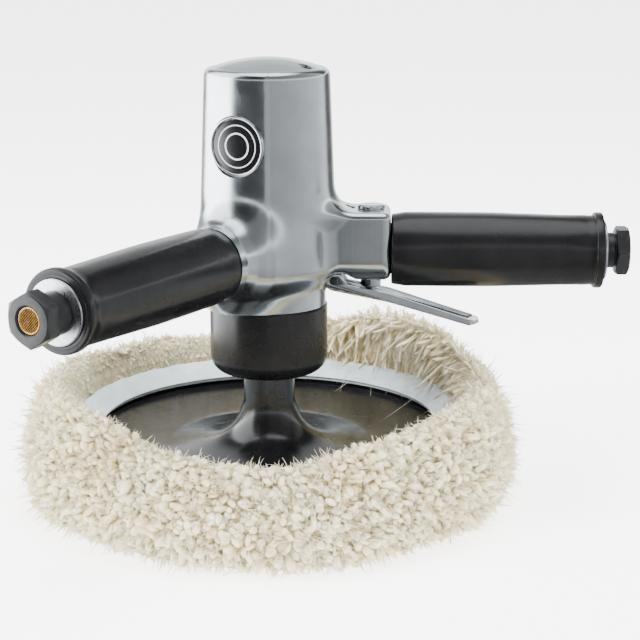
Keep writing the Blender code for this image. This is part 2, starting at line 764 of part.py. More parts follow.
def motor_cylinder(inlet, exhaust):
    """Make the liner: an eccentric bore with an inlet and an exhaust port."""
    liner = turned("motor_cylinder", rod_outline(SPIGOT_RADIUS, LINER_BOTTOM, LINER_TOP), steel(), FINE)
    x = LINER_OFFSET * math.cos(LINER_BORE_TURN)
    y = LINER_OFFSET * math.sin(LINER_BORE_TURN)
    cut(liner, bore_cutter("liner_bore", LINER_BORE, LINER_BOTTOM - 0.01, LINER_TOP + 0.01, x, y, FINE))
    port = on_handle(turned("inlet_port", rod_outline(AIR_PASSAGE, 0.010, 0.030), None, 12), inlet)
    port.location = (HANDLE_HEIGHT - PASSAGE_HEIGHT, 0.0, 0.0)
    cut(liner, port)
    port = rod_outline(exhaust_passage(), 0.010, 0.030)
    cut(liner, on_handle(turned("exhaust_port", port, None, 12), exhaust))


def ring_gear():
    """Make the fixed ring gear, with a tooth facing each planet."""
    ring = turned("ring_gear", rod_outline(SPIGOT_RADIUS, RING_BOTTOM, RING_TOP), steel(), FINE)
    hollow = gear_outline(RING_TEETH, RING_PITCH, False)
    cut(ring, prism("ring_teeth", hollow, RING_BOTTOM - 0.002, RING_TOP + 0.002, None))


def planet_gears(carrier_axis):
    """Make the planet gears and their pins, evenly round the sun."""
    half_tooth = math.pi / PLANET_TEETH
    for number in range(PLANET_COUNT):
        turn = 2.0 * math.pi * number / PLANET_COUNT
        x = PLANET_ORBIT * math.cos(turn)
        y = PLANET_ORBIT * math.sin(turn)
        outline = turn_points(gear_outline(PLANET_TEETH, PLANET_PITCH, True), turn + half_tooth)
        gear = prism(f"planet_gear_{number + 1}", outline, RING_BOTTOM + GAP, RING_TOP - GAP, steel())
        gear.location = (x, y, 0.0)
        cut(gear, bore_cutter(f"planet_bore_{number + 1}", PLANET_PIN_RADIUS + GAP, RING_BOTTOM - 0.002,
                              RING_TOP + 0.002, x, y, 12))
        pin = turned(f"planet_pin_{number + 1}", rod_outline(PLANET_PIN_RADIUS, CARRIER_TOP - PIN_DEPTH,
                     RING_TOP - GAP), bearing_steel(), 12)
        pin.location = (x, y, 0.0)
        pin.parent = carrier_axis


def spindle(carrier_axis):
    """Make the spindle in one piece with the planet carrier."""
    carrier = UPPER_BEARING_RADIUS + GAP - RUNNING
    outline = [
        (0.0, SPINDLE_END),
        (SPINDLE_RADIUS, SPINDLE_END),
        (SPINDLE_RADIUS, UPPER_BEARING_BOTTOM - RUNNING),
        (JOURNAL_RADIUS, UPPER_BEARING_BOTTOM - RUNNING),
        (JOURNAL_RADIUS, CARRIER_BOTTOM),
        (carrier, CARRIER_BOTTOM),
        (carrier, CARRIER_TOP),
        (0.0, CARRIER_TOP),
    ]
    shaft = turned("spindle", outline, steel(), MEDIUM)
    shaft.parent = carrier_axis
    for number in range(PLANET_COUNT):
        turn = 2.0 * math.pi * number / PLANET_COUNT
        x = PLANET_ORBIT * math.cos(turn)
        y = PLANET_ORBIT * math.sin(turn)
        cut(shaft, bore_cutter(f"pin_socket_{number + 1}", PLANET_PIN_RADIUS + GAP,
                               CARRIER_TOP - PIN_DEPTH - GAP, CARRIER_TOP + 0.003, x, y, 12))


def rotor_group():
    """Make the rotor, its shaft, the sun pinion and the vanes."""
    low = LINER_BOTTOM + GAP
    high = LINER_TOP - GAP
    body = turned("rotor", ring_outline(SHAFT_RADIUS + GAP, ROTOR_RADIUS, low, high), steel(), FINE)
    pinion_top = RING_TOP
    outline = [
        (0.0, RING_BOTTOM + GAP),
        (PINION_SHAFT_RADIUS, RING_BOTTOM + GAP),
        (PINION_SHAFT_RADIUS, pinion_top + GAP),
        (SHAFT_RADIUS, pinion_top + GAP),
        (SHAFT_RADIUS, UPPER_PLATE_TOP),
        (0.0, UPPER_PLATE_TOP),
    ]
    turned("rotor_shaft", outline, bearing_steel(), COARSE)
    teeth = gear_outline(SUN_TEETH, SUN_PITCH, True)
    pinion = prism("sun_pinion", teeth, RING_BOTTOM + GAP, pinion_top, steel())
    cut(pinion, bore_cutter("pinion_bore", PINION_SHAFT_RADIUS + GAP, RING_BOTTOM - 0.002,
                            RING_TOP + 0.002, segments=12))
    inner = ROTOR_RADIUS - VANE_DEPTH
    for number in range(VANE_COUNT):
        turn = 2.0 * math.pi * number / VANE_COUNT + math.pi / VANE_COUNT
        half = VANE_THICKNESS / 2.0
        slot = box_cutter(f"vane_slot_{number + 1}", (inner, -half - GAP, low - 0.002),
                          (ROTOR_RADIUS + 0.002, half + GAP, high + 0.002))
        slot.rotation_euler = (0.0, 0.0, turn)
        cut(body, slot)
        vane = box_cutter(f"vane_{number + 1}", (inner + GAP, -half, low), (ROTOR_RADIUS - GAP, half, high))
        vane.data.materials.append(phenolic())
        vane.rotation_euler = (0.0, 0.0, turn)


def pad_top(radius):
    """Return the height of the backing pad's upper face outside its hub."""
    if radius >= PAD_DISH_RADIUS:
        share = (radius - PAD_DISH_RADIUS) / (PAD_RADIUS - PAD_DISH_RADIUS)
        return PAD_RIM_HEIGHT - PAD_DISH_DROP * (1.0 - share * share * 0.6 - share * 0.4)
    return PAD_RIM_HEIGHT - PAD_DISH_DROP


def pad_bottom(radius):
    """Return the height of the backing pad's lower face."""
    if radius <= PAD_DISH_RADIUS:
        return WOOL_UNDER_PAD + GAP
    return pad_top(radius) - PAD_THICKNESS


def trumpet_outline():
    """Return the concave flare from the pad's dish up to its neck."""
    dish = pad_top(0.0)
    points = []
    steps = 7
    for step in range(steps + 1):
        share = step / steps
        radius = PAD_DISH_RADIUS + (NECK_RADIUS - PAD_DISH_RADIUS) * share
        flare = (NECK_RADIUS / radius) ** 2.0
        base = (NECK_RADIUS / PAD_DISH_RADIUS) ** 2.0
        points.append((radius, dish + PAD_HUB_RISE * (flare - base) / (1.0 - base)))
    return points


def backing_pad():
    """Make the rubber backing pad: flat dish, trumpet hub and bored neck."""
    bore = INSERT_RADIUS + GAP
    rim = PAD_RADIUS - 0.0015
    middle = (PAD_DISH_RADIUS + PAD_RADIUS) / 2.0
    outline = [(0.0, WOOL_UNDER_PAD + GAP), (PAD_DISH_RADIUS, WOOL_UNDER_PAD + GAP)]
    outline += [(middle, pad_bottom(middle)), (rim, pad_bottom(rim))]
    outline += [(PAD_RADIUS, pad_bottom(PAD_RADIUS) + 0.0015), (PAD_RADIUS, PAD_RIM_HEIGHT - 0.0012)]
    outline += [(rim, PAD_RIM_HEIGHT - 0.0003), (middle, pad_top(middle))]
    outline += trumpet_outline()
    outline += [(NECK_RADIUS, NECK_TOP), (bore, NECK_TOP)]
    outline += [(bore, SPINDLE_END - PAD_FLOOR), (0.0, SPINDLE_END - PAD_FLOOR)]
    return turned("backing_pad", outline, pad_rubber(), FINE)


def pad_insert():
    """Make the threaded steel insert in the pad's neck."""
    base = SPINDLE_END - PAD_FLOOR + GAP
    outline = [
        (0.0, base),
        (INSERT_RADIUS, base),
        (INSERT_RADIUS, NECK_TOP - GAP),
        (SPINDLE_RADIUS + GAP, NECK_TOP - GAP),
        (SPINDLE_RADIUS + GAP, SPINDLE_END - GAP),
        (0.0, SPINDLE_END - GAP),
    ]
    return turned("pad_insert", outline, steel(), MEDIUM)


def hem_point(along, across):
    """Return a point of the hem's section, along its slope and across it."""
    start = (PAD_RADIUS - HEM_OVERLAP, PAD_RIM_HEIGHT + GAP)
    run = (math.cos(HEM_SLOPE), math.sin(HEM_SLOPE))
    return (start[0] + along * run[0] - across * run[1], start[1] + along * run[1] + across * run[0])


def bonnet():
    """Make the wool bonnet as one soft solid that wraps the pad's rim."""
    low_edge = BONNET_RADIUS - 0.024
    seat = PAD_RADIUS + GAP
    under = WOOL_UNDER_PAD
    middle = (PAD_DISH_RADIUS + PAD_RADIUS) / 2.0
    outline = [
        (0.0, 0.0),
        (low_edge, 0.0),
        (low_edge + 0.013, 0.0035),
        (low_edge + 0.0210, 0.0125),
        (BONNET_RADIUS, 0.0245),
        (BONNET_RADIUS - 0.0020, 0.0370),
        (BONNET_RADIUS - 0.0085, BONNET_HEIGHT - 0.0035),
        (BONNET_RADIUS - 0.0170, BONNET_HEIGHT),
        (BONNET_RADIUS - 0.0235, BONNET_HEIGHT - 0.0030),
        hem_point(HEM_WIDTH + 2.0 * GAP, 0.0),
        hem_point(HEM_WIDTH + GAP, -GAP),
        hem_point(HEM_OVERLAP / math.cos(HEM_SLOPE) + GAP, -GAP),
        (seat, PAD_RIM_HEIGHT - 0.0010),
        (seat, pad_bottom(PAD_RADIUS) + 0.0015 - GAP),
        (PAD_RADIUS - 0.0012, pad_bottom(PAD_RADIUS) - 0.0006),
        (middle, pad_bottom(middle) - GAP),
        (PAD_DISH_RADIUS, under),
        (0.0, under),
    ]
    return turned("bonnet", outline, wool(), FINE)


def bonnet_hem():
    """Make the cloth hem, a folded channel open at its inner edge."""
    wall = HEM_CLOTH
    deep = HEM_THICKNESS
    outline = [
        hem_point(0.0, 0.0),
        hem_point(HEM_WIDTH, 0.0),
        hem_point(HEM_WIDTH, deep),
        hem_point(0.0, deep),
        hem_point(0.0, deep - wall),
        hem_point(HEM_WIDTH - wall, deep - wall),
        hem_point(HEM_WIDTH - wall, wall),
        hem_point(0.0, wall),
    ]
    return turned("bonnet_hem", outline, hem_cloth(), FINE)


def bonnet_drawstring():
    """Make the drawstring that runs inside the hem."""
    centre = hem_point(HEM_WIDTH - HEM_CLOTH - STRING_RADIUS - GAP, HEM_THICKNESS / 2.0)
    return turned("bonnet_drawstring", arc(centre, STRING_RADIUS, 0.0, 270.0, 3), cord_cotton(), FINE)


def grip(name, start, end, empty):
    """Make a rubber grip: a slightly barrelled sleeve with an end flange."""
    inner = GRIP_RADIUS - GRIP_WALL
    outline = [
        (inner, start),
        (GRIP_RADIUS - 0.0008, start),
        (GRIP_RADIUS - 0.0002, start + 0.0012),
        (GRIP_RADIUS + 0.0002, start + 0.030),
        (GRIP_RADIUS - 0.0004, end - 0.035),
        (GRIP_RADIUS - 0.0012, end - 0.0062),
        (GRIP_RADIUS + 0.0004, end - 0.0050),
        (GRIP_RADIUS + 0.0004, end - 0.0022),
        (GRIP_RADIUS - 0.0018, end - 0.0020),
        (GRIP_RADIUS - 0.0018, end),
        (inner, end),
    ]
    return on_handle(turned(name, outline, grip_rubber(), MEDIUM), empty)


def handle_tube(name, start, end, empty):
    """Make a handle tube with the spigot that screws into the casting."""
    outer = TUBE_RADIUS
    shoulder = start + STUB_LENGTH + GAP
    spigot_start = start - 0.0010
    outline = [
        (TUBE_BORE, spigot_start),
        (STUB_THREAD - GAP, spigot_start),
        (STUB_THREAD - GAP, shoulder),
        (outer, shoulder),
        (outer, end + TUBE_PROUD - 0.0008),
        (outer - 0.0008, end + TUBE_PROUD),
        (TUBE_BORE, end + TUBE_PROUD),
    ]
    return on_handle(turned(name, outline, cast_aluminium(), MEDIUM), empty)


def bushing(name, tube_end, neck_radius, hex_flats, hex_length, bore, empty, corner_up):
    """Make a threaded bushing with a round neck, a hexagon and a through bore."""
    face = tube_end + TUBE_PROUD + GAP
    outline = [
        (0.0, face - BUSHING_THREAD_LENGTH),
        (TUBE_BORE - GAP, face - BUSHING_THREAD_LENGTH),
        (TUBE_BORE - GAP, face),
        (neck_radius, face),
        (neck_radius, HANDLE_REACH - hex_length * 0.5),
        (0.0, HANDLE_REACH - hex_length * 0.5),
    ]
    body = on_handle(turned(name, outline, black_oxide(), MEDIUM), empty)
    corner = hex_flats / math.sqrt(3.0)
    start = math.pi / 6.0 if corner_up else 0.0
    points = []
    for step in range(6):
        turn = start + math.pi / 3.0 * step
        points.append((corner * math.cos(turn), corner * math.sin(turn)))
    head = prism(f"{name}_hex", points, HANDLE_REACH - hex_length, HANDLE_REACH, None)
    combine(body, on_handle(head, empty), "UNION")
    through = rod_outline(bore, face - BUSHING_THREAD_LENGTH - OVERSHOOT, HANDLE_REACH + OVERSHOOT)
    cut(body, on_handle(turned(f"{name}_bore", through, None, COARSE), empty))
    return body


def screens(inlet, exhaust):
    """Make the inlet strainer cup and the exhaust screen."""
    mouth = INLET_GRIP_END + TUBE_PROUD + GAP - BUSHING_THREAD_LENGTH
    cup = INLET_BORE - GAP
    wall = SCREEN_THICKNESS
    outline = [
        (cup - wall, mouth + 0.010),
        (cup - wall, mouth + wall),
        (0.0, mouth + wall),
        (0.0, mouth),
        (cup, mouth),
        (cup, mouth + 0.010),
    ]
    on_handle(turned("inlet_screen", outline, brass(), COARSE), inlet)
    top = HANDLE_REACH - SCREEN_RECESS
    disc = rod_outline(EXHAUST_BORE - GAP, top - SCREEN_THICKNESS, top)
    on_handle(turned("exhaust_screen", disc, brass(), COARSE), exhaust)


def silencer(exhaust):
    """Make the felt silencer that lines the exhaust tube."""
    end = EXHAUST_GRIP_END + TUBE_PROUD - BUSHING_THREAD_LENGTH - 0.003
    outer = TUBE_BORE - GAP
    outline = ring_outline(outer - SILENCER_WALL, outer, end - SILENCER_LENGTH, end)
    on_handle(turned("silencer", outline, felt(), COARSE), exhaust)


def badge_seat(empty):
    """Return the cutter of the flat, round seat that the badge lies on."""
    low = MOTOR_BORE + BADGE_SEAT_WALL
    outline = rod_outline(BADGE_RADIUS + GAP, low, HOUSING_WAIST_RADIUS + OVERSHOOT)
    return on_handle(turned("badge_seat", outline, None, MEDIUM), empty)


def badge(empty):
    """Make the round badge and the bright ring round it, flat on their seat."""
    low = MOTOR_BORE + BADGE_SEAT_WALL + GAP
    window = BADGE_RADIUS - BADGE_RING
    ring = ring_outline(window, BADGE_RADIUS, low, low + BADGE_THICKNESS)
    on_handle(turned("badge_rim", ring, plated_steel(), MEDIUM), empty)
    disc = rod_outline(window - GAP, low, low + BADGE_THICKNESS * 0.6)
    on_handle(turned("badge_disc", disc, badge_enamel(), MEDIUM), empty)


def valve_parts():
    """Make the cap, seat, guide, seal, plunger and spring of the throttle valve."""
    cap_outline = [
        (0.0, CAP_BOTTOM),
        (VALVE_BORE - GAP, CAP_BOTTOM),
        (VALVE_BORE - GAP, BLOCK_TOP + GAP),
        (CAP_RADIUS, BLOCK_TOP + GAP),
        (CAP_RADIUS, BLOCK_TOP + CAP_PROUD - 0.0005),
        (CAP_RADIUS - 0.0005, BLOCK_TOP + CAP_PROUD),
        (0.0, BLOCK_TOP + CAP_PROUD),
    ]
    cap = turned("valve_cap", cap_outline, plated_steel(), 24)
    cap.location = (VALVE_X, 0.0, 0.0)
    for number in range(CAP_NOTCHES):
        notch = box_cutter(f"cap_notch_{number}", (CAP_RADIUS - 0.0012, -0.0008, BLOCK_TOP + 0.0008),
                           (CAP_RADIUS + 0.002, 0.0008, BLOCK_TOP + CAP_PROUD + 0.002))
        notch.location = (VALVE_X, 0.0, 0.0)
        notch.rotation_euler = (0.0, 0.0, 2.0 * math.pi * (number + 0.5) / CAP_NOTCHES)
        cut(cap, notch)
    seat_outline = ring_outline(STEM_HOLE, VALVE_BORE - GAP, SEAT_BOTTOM, SEAT_TOP)
    seat = turned("valve_seat", seat_outline, brass(), COARSE)
    seat.location = (VALVE_X, 0.0, 0.0)
    guide_outline = [
        (STEM_HOLE, BLOCK_BOTTOM - GUIDE_DROP),
        (GUIDE_RADIUS, BLOCK_BOTTOM - GUIDE_DROP),
        (GUIDE_RADIUS, BLOCK_BOTTOM - GAP),
        (GUIDE_SPIGOT, BLOCK_BOTTOM - GAP),
        (GUIDE_SPIGOT, BLOCK_BOTTOM + GUIDE_SPIGOT_LENGTH),
        (STEM_HOLE, BLOCK_BOTTOM + GUIDE_SPIGOT_LENGTH),
    ]
    guide = turned("valve_guide", guide_outline, plated_steel(), COARSE)
    guide.location = (VALVE_X, 0.0, 0.0)
    ring_low = BLOCK_BOTTOM + GUIDE_SPIGOT_LENGTH + GAP
    ring = turned("stem_seal", ring_outline(STEM_HOLE, VALVE_LOWER_BORE - GAP - 0.0010, ring_low,
                  ring_low + 0.0016), seal_rubber(), COARSE)
    ring.location = (VALVE_X, 0.0, 0.0)
    head_low = SEAT_TOP + GAP
    head_top = head_low + VALVE_HEAD_HEIGHT
    plunger_outline = [
        (0.0, PLUNGER_TIP),
        (0.0008, PLUNGER_TIP),
        (PLUNGER_RADIUS, PLUNGER_TIP + 0.0012),
        (PLUNGER_RADIUS, head_low),
        (VALVE_HEAD_RADIUS, head_low),
        (VALVE_HEAD_RADIUS, head_top),
        (0.0, head_top),
    ]
    plunger = turned("throttle_plunger", plunger_outline, plated_steel(), COARSE)
    plunger.location = (VALVE_X, 0.0, 0.0)
    valve_spring(head_top + GAP, CAP_BOTTOM - GAP)


def valve_spring(bottom, top):
    """Make the return spring as one coil."""
    path = bpy.data.curves.new("valve_spring", "CURVE")
    path.dimensions = "3D"
    path.bevel_depth = SPRING_WIRE
    path.bevel_resolution = 0
    path.use_fill_caps = True
    steps = SPRING_TURNS * 8
    line = path.splines.new("POLY")
    line.points.add(steps)
    reach = VALVE_HEAD_RADIUS - SPRING_WIRE
    for step in range(steps + 1):
        share = step / steps
        turn = 2.0 * math.pi * SPRING_TURNS * share
        height = bottom + SPRING_WIRE + (top - bottom - 2.0 * SPRING_WIRE) * share
        line.points[step].co = (reach * math.cos(turn), reach * math.sin(turn), height, 1.0)
    path.materials.append(steel())
    coil = bpy.data.objects.new("valve_spring", path)
    coil.location = (VALVE_X, 0.0, 0.0)
    bpy.context.scene.collection.objects.link(coil)


def regulator_screw():
    """Make the slotted screw that throttles the passage to the motor."""
    tip = PASSAGE_HEIGHT + 0.0006
    top = BLOCK_TOP + 0.0008
    screw = turned("regulator_screw", rod_outline(REGULATOR_RADIUS, tip, top), plated_steel(), 16)
    screw.location = (REGULATOR_X, 0.0, 0.0)
    slot = box_cutter("regulator_slot", (-0.004, -0.0004, top - 0.0010), (0.004, 0.0004, top + 0.002))
    slot.location = (REGULATOR_X, 0.0, 0.0)
    slot.rotation_euler = (0.0, 0.0, math.radians(35.0))
    cut(screw, slot)


def lever_line(x):
    """Return the height of the lever's underside at a distance along X."""
    start = PLUNGER_TIP - GAP - LEVER_SHEET + LEVER_FIRST_SLOPE * VALVE_X
    if x <= LEVER_BEND_X:
        return start - LEVER_FIRST_SLOPE * x
    return start - LEVER_FIRST_SLOPE * LEVER_BEND_X - LEVER_SECOND_SLOPE * (x - LEVER_BEND_X)


def throttle_lever():
    """Make the pressed steel lever: a channel with two ears and a rounded tip."""
    back = PIVOT_X - 0.0052
    plate_start = PIVOT_X - 0.0012
    ear_top = PIVOT_Z + 0.0030
    ear_end = PIVOT_X + 0.0070
    tip = LEVER_TIP_X
    outline = [
        (back, lever_line(back) + 0.0015),
        (plate_start, lever_line(plate_start)),
        (LEVER_BEND_X, lever_line(LEVER_BEND_X)),
        (tip - 0.0055, lever_line(tip - 0.0055)),
        (tip, lever_line(tip) + 0.0020),
        (tip, lever_line(tip) + 0.0034),
        (tip - 0.0055, lever_line(tip - 0.0055) + 0.0030),
        (LEVER_BEND_X, lever_line(LEVER_BEND_X) + LEVER_FLANGE),
        (ear_end, lever_line(ear_end) + LEVER_FLANGE),
        (ear_end - 0.0035, ear_top),
        (back + 0.0015, ear_top),
        (back, ear_top - 0.0015),
    ]
    centred = [(x - PIVOT_X, z - PIVOT_Z) for x, z in outline]
    lever = prism("throttle_lever", centred, -LEVER_HALF_WIDTH, LEVER_HALF_WIDTH, plated_steel(), "XZ")
    lever.location = (PIVOT_X, 0.0, PIVOT_Z)
    sheet = LEVER_SHEET
    inside = [
        (back - OVERSHOOT, PIVOT_Z - LEVER_CUT),
        (plate_start, PIVOT_Z - LEVER_CUT),
        (plate_start, lever_line(plate_start) + sheet),
        (LEVER_BEND_X, lever_line(LEVER_BEND_X) + sheet),
        (tip - 0.0055, lever_line(tip - 0.0055) + sheet),
        (tip + OVERSHOOT, lever_line(tip) + 0.0020 + 2.0 * sheet),
        (tip + OVERSHOOT, PIVOT_Z + LEVER_CUT),
        (back - OVERSHOOT, PIVOT_Z + LEVER_CUT),
    ]
    half = LEVER_HALF_WIDTH - sheet
    cut(lever, prism("lever_inside", inside, -half, half, None, "XZ"))
    hole = turned("ear_hole", rod_outline(PIN_RADIUS + GAP, -PIN_HOLE_REACH, PIN_HOLE_REACH), None, COARSE)
    hole.rotation_euler = (math.pi / 2.0, 0.0, 0.0)
    hole.location = (PIVOT_X, 0.0, PIVOT_Z)
    cut(lever, hole)
    for side in (-1.0, 1.0):
        corner = [
            (tip - 0.0060, side * (LEVER_HALF_WIDTH + 0.001)),
            (tip + 0.002, side * (LEVER_HALF_WIDTH + 0.001)),
            (tip + 0.002, side * LEVER_HALF_WIDTH * 0.35),
            (tip - 0.0002, side * LEVER_HALF_WIDTH * 0.45),
            (tip - 0.0022, side * LEVER_HALF_WIDTH * 0.78),
        ]
        cut(lever, prism(f"tip_corner_{int(side)}", corner, lever_line(tip) - OVERSHOOT, PIVOT_Z, None))


def lever_pin():
    """Make the pin that the lever swings on."""
    reach = LEVER_HALF_WIDTH + 0.0006
    pin = turned("lever_pin", rod_outline(PIN_RADIUS, -reach, reach), steel(), COARSE)
    pin.rotation_euler = (math.pi / 2.0, 0.0, 0.0)
    pin.location = (PIVOT_X, 0.0, PIVOT_Z)


def main():
    """Build the polisher."""
    clear_scene()
    inlet = handle_empty("inlet_axis", 0.0)
    exhaust = handle_empty("exhaust_axis", EXHAUST_TURN)
    spindle_axis = upright_empty("spindle_axis", 0.0, 0.0)
    badge_axis = handle_empty("badge_axis", BADGE_TURN)
    badge_axis.location = (0.0, 0.0, BADGE_HEIGHT)
    motor_housing(inlet, exhaust, badge_axis)
    oil_plug()
    bearing_collar()
    bearings_and_seal()
    end_plates()
    motor_cylinder(inlet, exhaust)
    ring_gear()
    planet_gears(spindle_axis)
    spindle(spindle_axis)
    rotor_group()
    for piece in (backing_pad(), pad_insert(), bonnet(), bonnet_hem(), bonnet_drawstring()):
        piece.parent = spindle_axis
    grip("inlet_grip", INLET_GRIP_START, INLET_GRIP_END, inlet)
    grip("exhaust_grip", EXHAUST_GRIP_START, EXHAUST_GRIP_END, exhaust)
    handle_tube("inlet_tube", INLET_GRIP_START, INLET_GRIP_END, inlet)
    handle_tube("exhaust_tube", EXHAUST_GRIP_START, EXHAUST_GRIP_END, exhaust)
    bushing("inlet_bushing", INLET_GRIP_END, INLET_NECK_RADIUS, INLET_HEX_FLATS, INLET_HEX_LENGTH,
            INLET_BORE, inlet, True)
    bushing("exhaust_bushing", EXHAUST_GRIP_END, EXHAUST_NECK_RADIUS, EXHAUST_HEX_FLATS,
            EXHAUST_HEX_LENGTH, EXHAUST_BORE, exhaust, False)
    screens(inlet, exhaust)
    silencer(exhaust)
    badge(badge_axis)
    valve_parts()
    regulator_screw()
    throttle_lever()
    lever_pin()


main()
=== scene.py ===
"""Air-driven rotary polisher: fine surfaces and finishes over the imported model.

Metres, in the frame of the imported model: +Z up along the spindle, the origin at the centre
of the polishing face, +X along the inlet handle. The exhaust handle leaves at 240 degrees.
"""

from __future__ import annotations

import json
import logging
import math
from dataclasses import dataclass, field
from enum import Enum
from typing import Callable

import bpy
import numpy as np
from mathutils import Matrix, Vector
from mathutils.kdtree import KDTree

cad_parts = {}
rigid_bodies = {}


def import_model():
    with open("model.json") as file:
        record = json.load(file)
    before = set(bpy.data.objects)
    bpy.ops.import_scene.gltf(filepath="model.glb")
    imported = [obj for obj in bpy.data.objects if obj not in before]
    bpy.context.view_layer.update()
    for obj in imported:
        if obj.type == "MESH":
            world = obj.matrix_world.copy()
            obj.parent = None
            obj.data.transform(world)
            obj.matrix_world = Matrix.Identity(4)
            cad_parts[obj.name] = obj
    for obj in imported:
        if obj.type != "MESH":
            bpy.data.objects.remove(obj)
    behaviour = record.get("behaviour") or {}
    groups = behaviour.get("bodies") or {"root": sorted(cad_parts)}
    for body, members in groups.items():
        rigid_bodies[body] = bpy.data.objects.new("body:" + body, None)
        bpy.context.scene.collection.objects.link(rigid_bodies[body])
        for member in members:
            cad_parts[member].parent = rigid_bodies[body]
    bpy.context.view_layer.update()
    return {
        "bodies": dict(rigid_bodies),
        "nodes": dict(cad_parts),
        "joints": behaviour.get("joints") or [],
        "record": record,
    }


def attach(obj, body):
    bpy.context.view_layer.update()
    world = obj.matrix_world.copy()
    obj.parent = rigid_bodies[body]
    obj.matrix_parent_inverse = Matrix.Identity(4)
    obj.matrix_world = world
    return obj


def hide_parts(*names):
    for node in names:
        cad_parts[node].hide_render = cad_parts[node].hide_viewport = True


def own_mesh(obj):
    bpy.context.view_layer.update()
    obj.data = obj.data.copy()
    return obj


log = logging.getLogger("polisher")

Colour = tuple[float, float, float]
Outline = list[tuple[float, float]]
Piece = bpy.types.Object
Tree = bpy.types.NodeTree
Node = bpy.types.Node
Socket = bpy.types.NodeSocket

GAP = 0.0003
MERGE = 0.000004
FULL_TURN = 2.0 * math.pi
QUARTER_TURN = math.pi / 2.0

# Sizes that several sub-assemblies share.
HANDLE_HEIGHT = 0.1240
EXHAUST_TURN = 240.0
INLET_START = 0.0617
EXHAUST_START = 0.0483
GRIP_RADIUS = 0.0182
STUB_LENGTH = 0.0140
STUB_THREAD = 0.0090
BLOCK_TOP = 0.1442
BLOCK_BOTTOM = 0.1095
VALVE_X = 0.0508
REGULATOR_X = 0.0405
LEVER_PIVOT = (0.0325, 0.1092)
PAD_RADIUS = 0.0890
PAD_RIM_HEIGHT = 0.0320


class Body(str, Enum):
    """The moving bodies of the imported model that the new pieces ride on."""

    HOUSING = "housing"
    SPINDLE = "spindle"
    LEVER = "lever"
    PLUNGER = "plunger"
    REGULATOR = "regulator"


class Upright(Enum):
    """Which way a hexagon stands on its handle."""

    CORNER = 30.0
    FLAT = 0.0


def tone(code: str) -> Colour:
    """Turn a display colour into the linear one that shaders take.

    Args:
        code: Six hexadecimal digits, red first.

    Returns:
        Red, green and blue from 0 to 1, linear.
    """
    shares = [int(code[place:place + 2], 16) / 255.0 for place in (0, 2, 4)]
    return tuple(s / 12.92 if s <= 0.04045 else ((s + 0.055) / 1.055) ** 2.4 for s in shares)


def arc(centre: tuple[float, float], radius: float, start: float, end: float, steps: int) -> Outline:
    """Return points along an arc, both ends included.

    Args:
        centre: Centre of the arc.
        radius: Its radius.
        start: Angle of the first point, in degrees.
        end: Angle of the last point, in degrees.
        steps: Number of spans.

    Returns:
        The points in order.
    """
    turns = [math.radians(start + (end - start) * step / steps) for step in range(steps + 1)]
    return [(centre[0] + radius * math.cos(t), centre[1] + radius * math.sin(t)) for t in turns]


def rod(radius: float, bottom: float, top: float, edge: float = 0.0) -> Outline:
    """Return the outline of a rod whose ends have rounded edges.

    Args:
        radius: Radius of the rod.
        bottom: Height of its lower face.
        top: Height of its upper face.
        edge: Radius of the rounded edges, or 0 for sharp ones.

    Returns:
        The outline from the axis round to the axis.
    """
    if edge <= 0.0:
        return [(0.0, bottom), (radius, bottom), (radius, top), (0.0, top)]
    inner = radius - edge
    return (
        [(0.0, bottom)]
        + arc((inner, bottom + edge), edge, -90.0, 0.0, 4)
        + arc((inner, top - edge), edge, 0.0, 90.0, 4)
        + [(0.0, top)]
    )


def ease(value: np.ndarray | float, low: float, high: float) -> np.ndarray | float:
    """Rise smoothly from 0 at low to 1 at high."""
    share = np.clip((value - low) / (high - low), 0.0, 1.0)
    return share * share * (3.0 - 2.0 * share)


def pin_frame(pivot: tuple[float, float]) -> Matrix:
    """Return the frame of the lever's pin, whose Z axis runs across the block."""
    return Matrix.Translation((pivot[0], 0.0, pivot[1])) @ Matrix.Rotation(QUARTER_TURN, 4, "X")


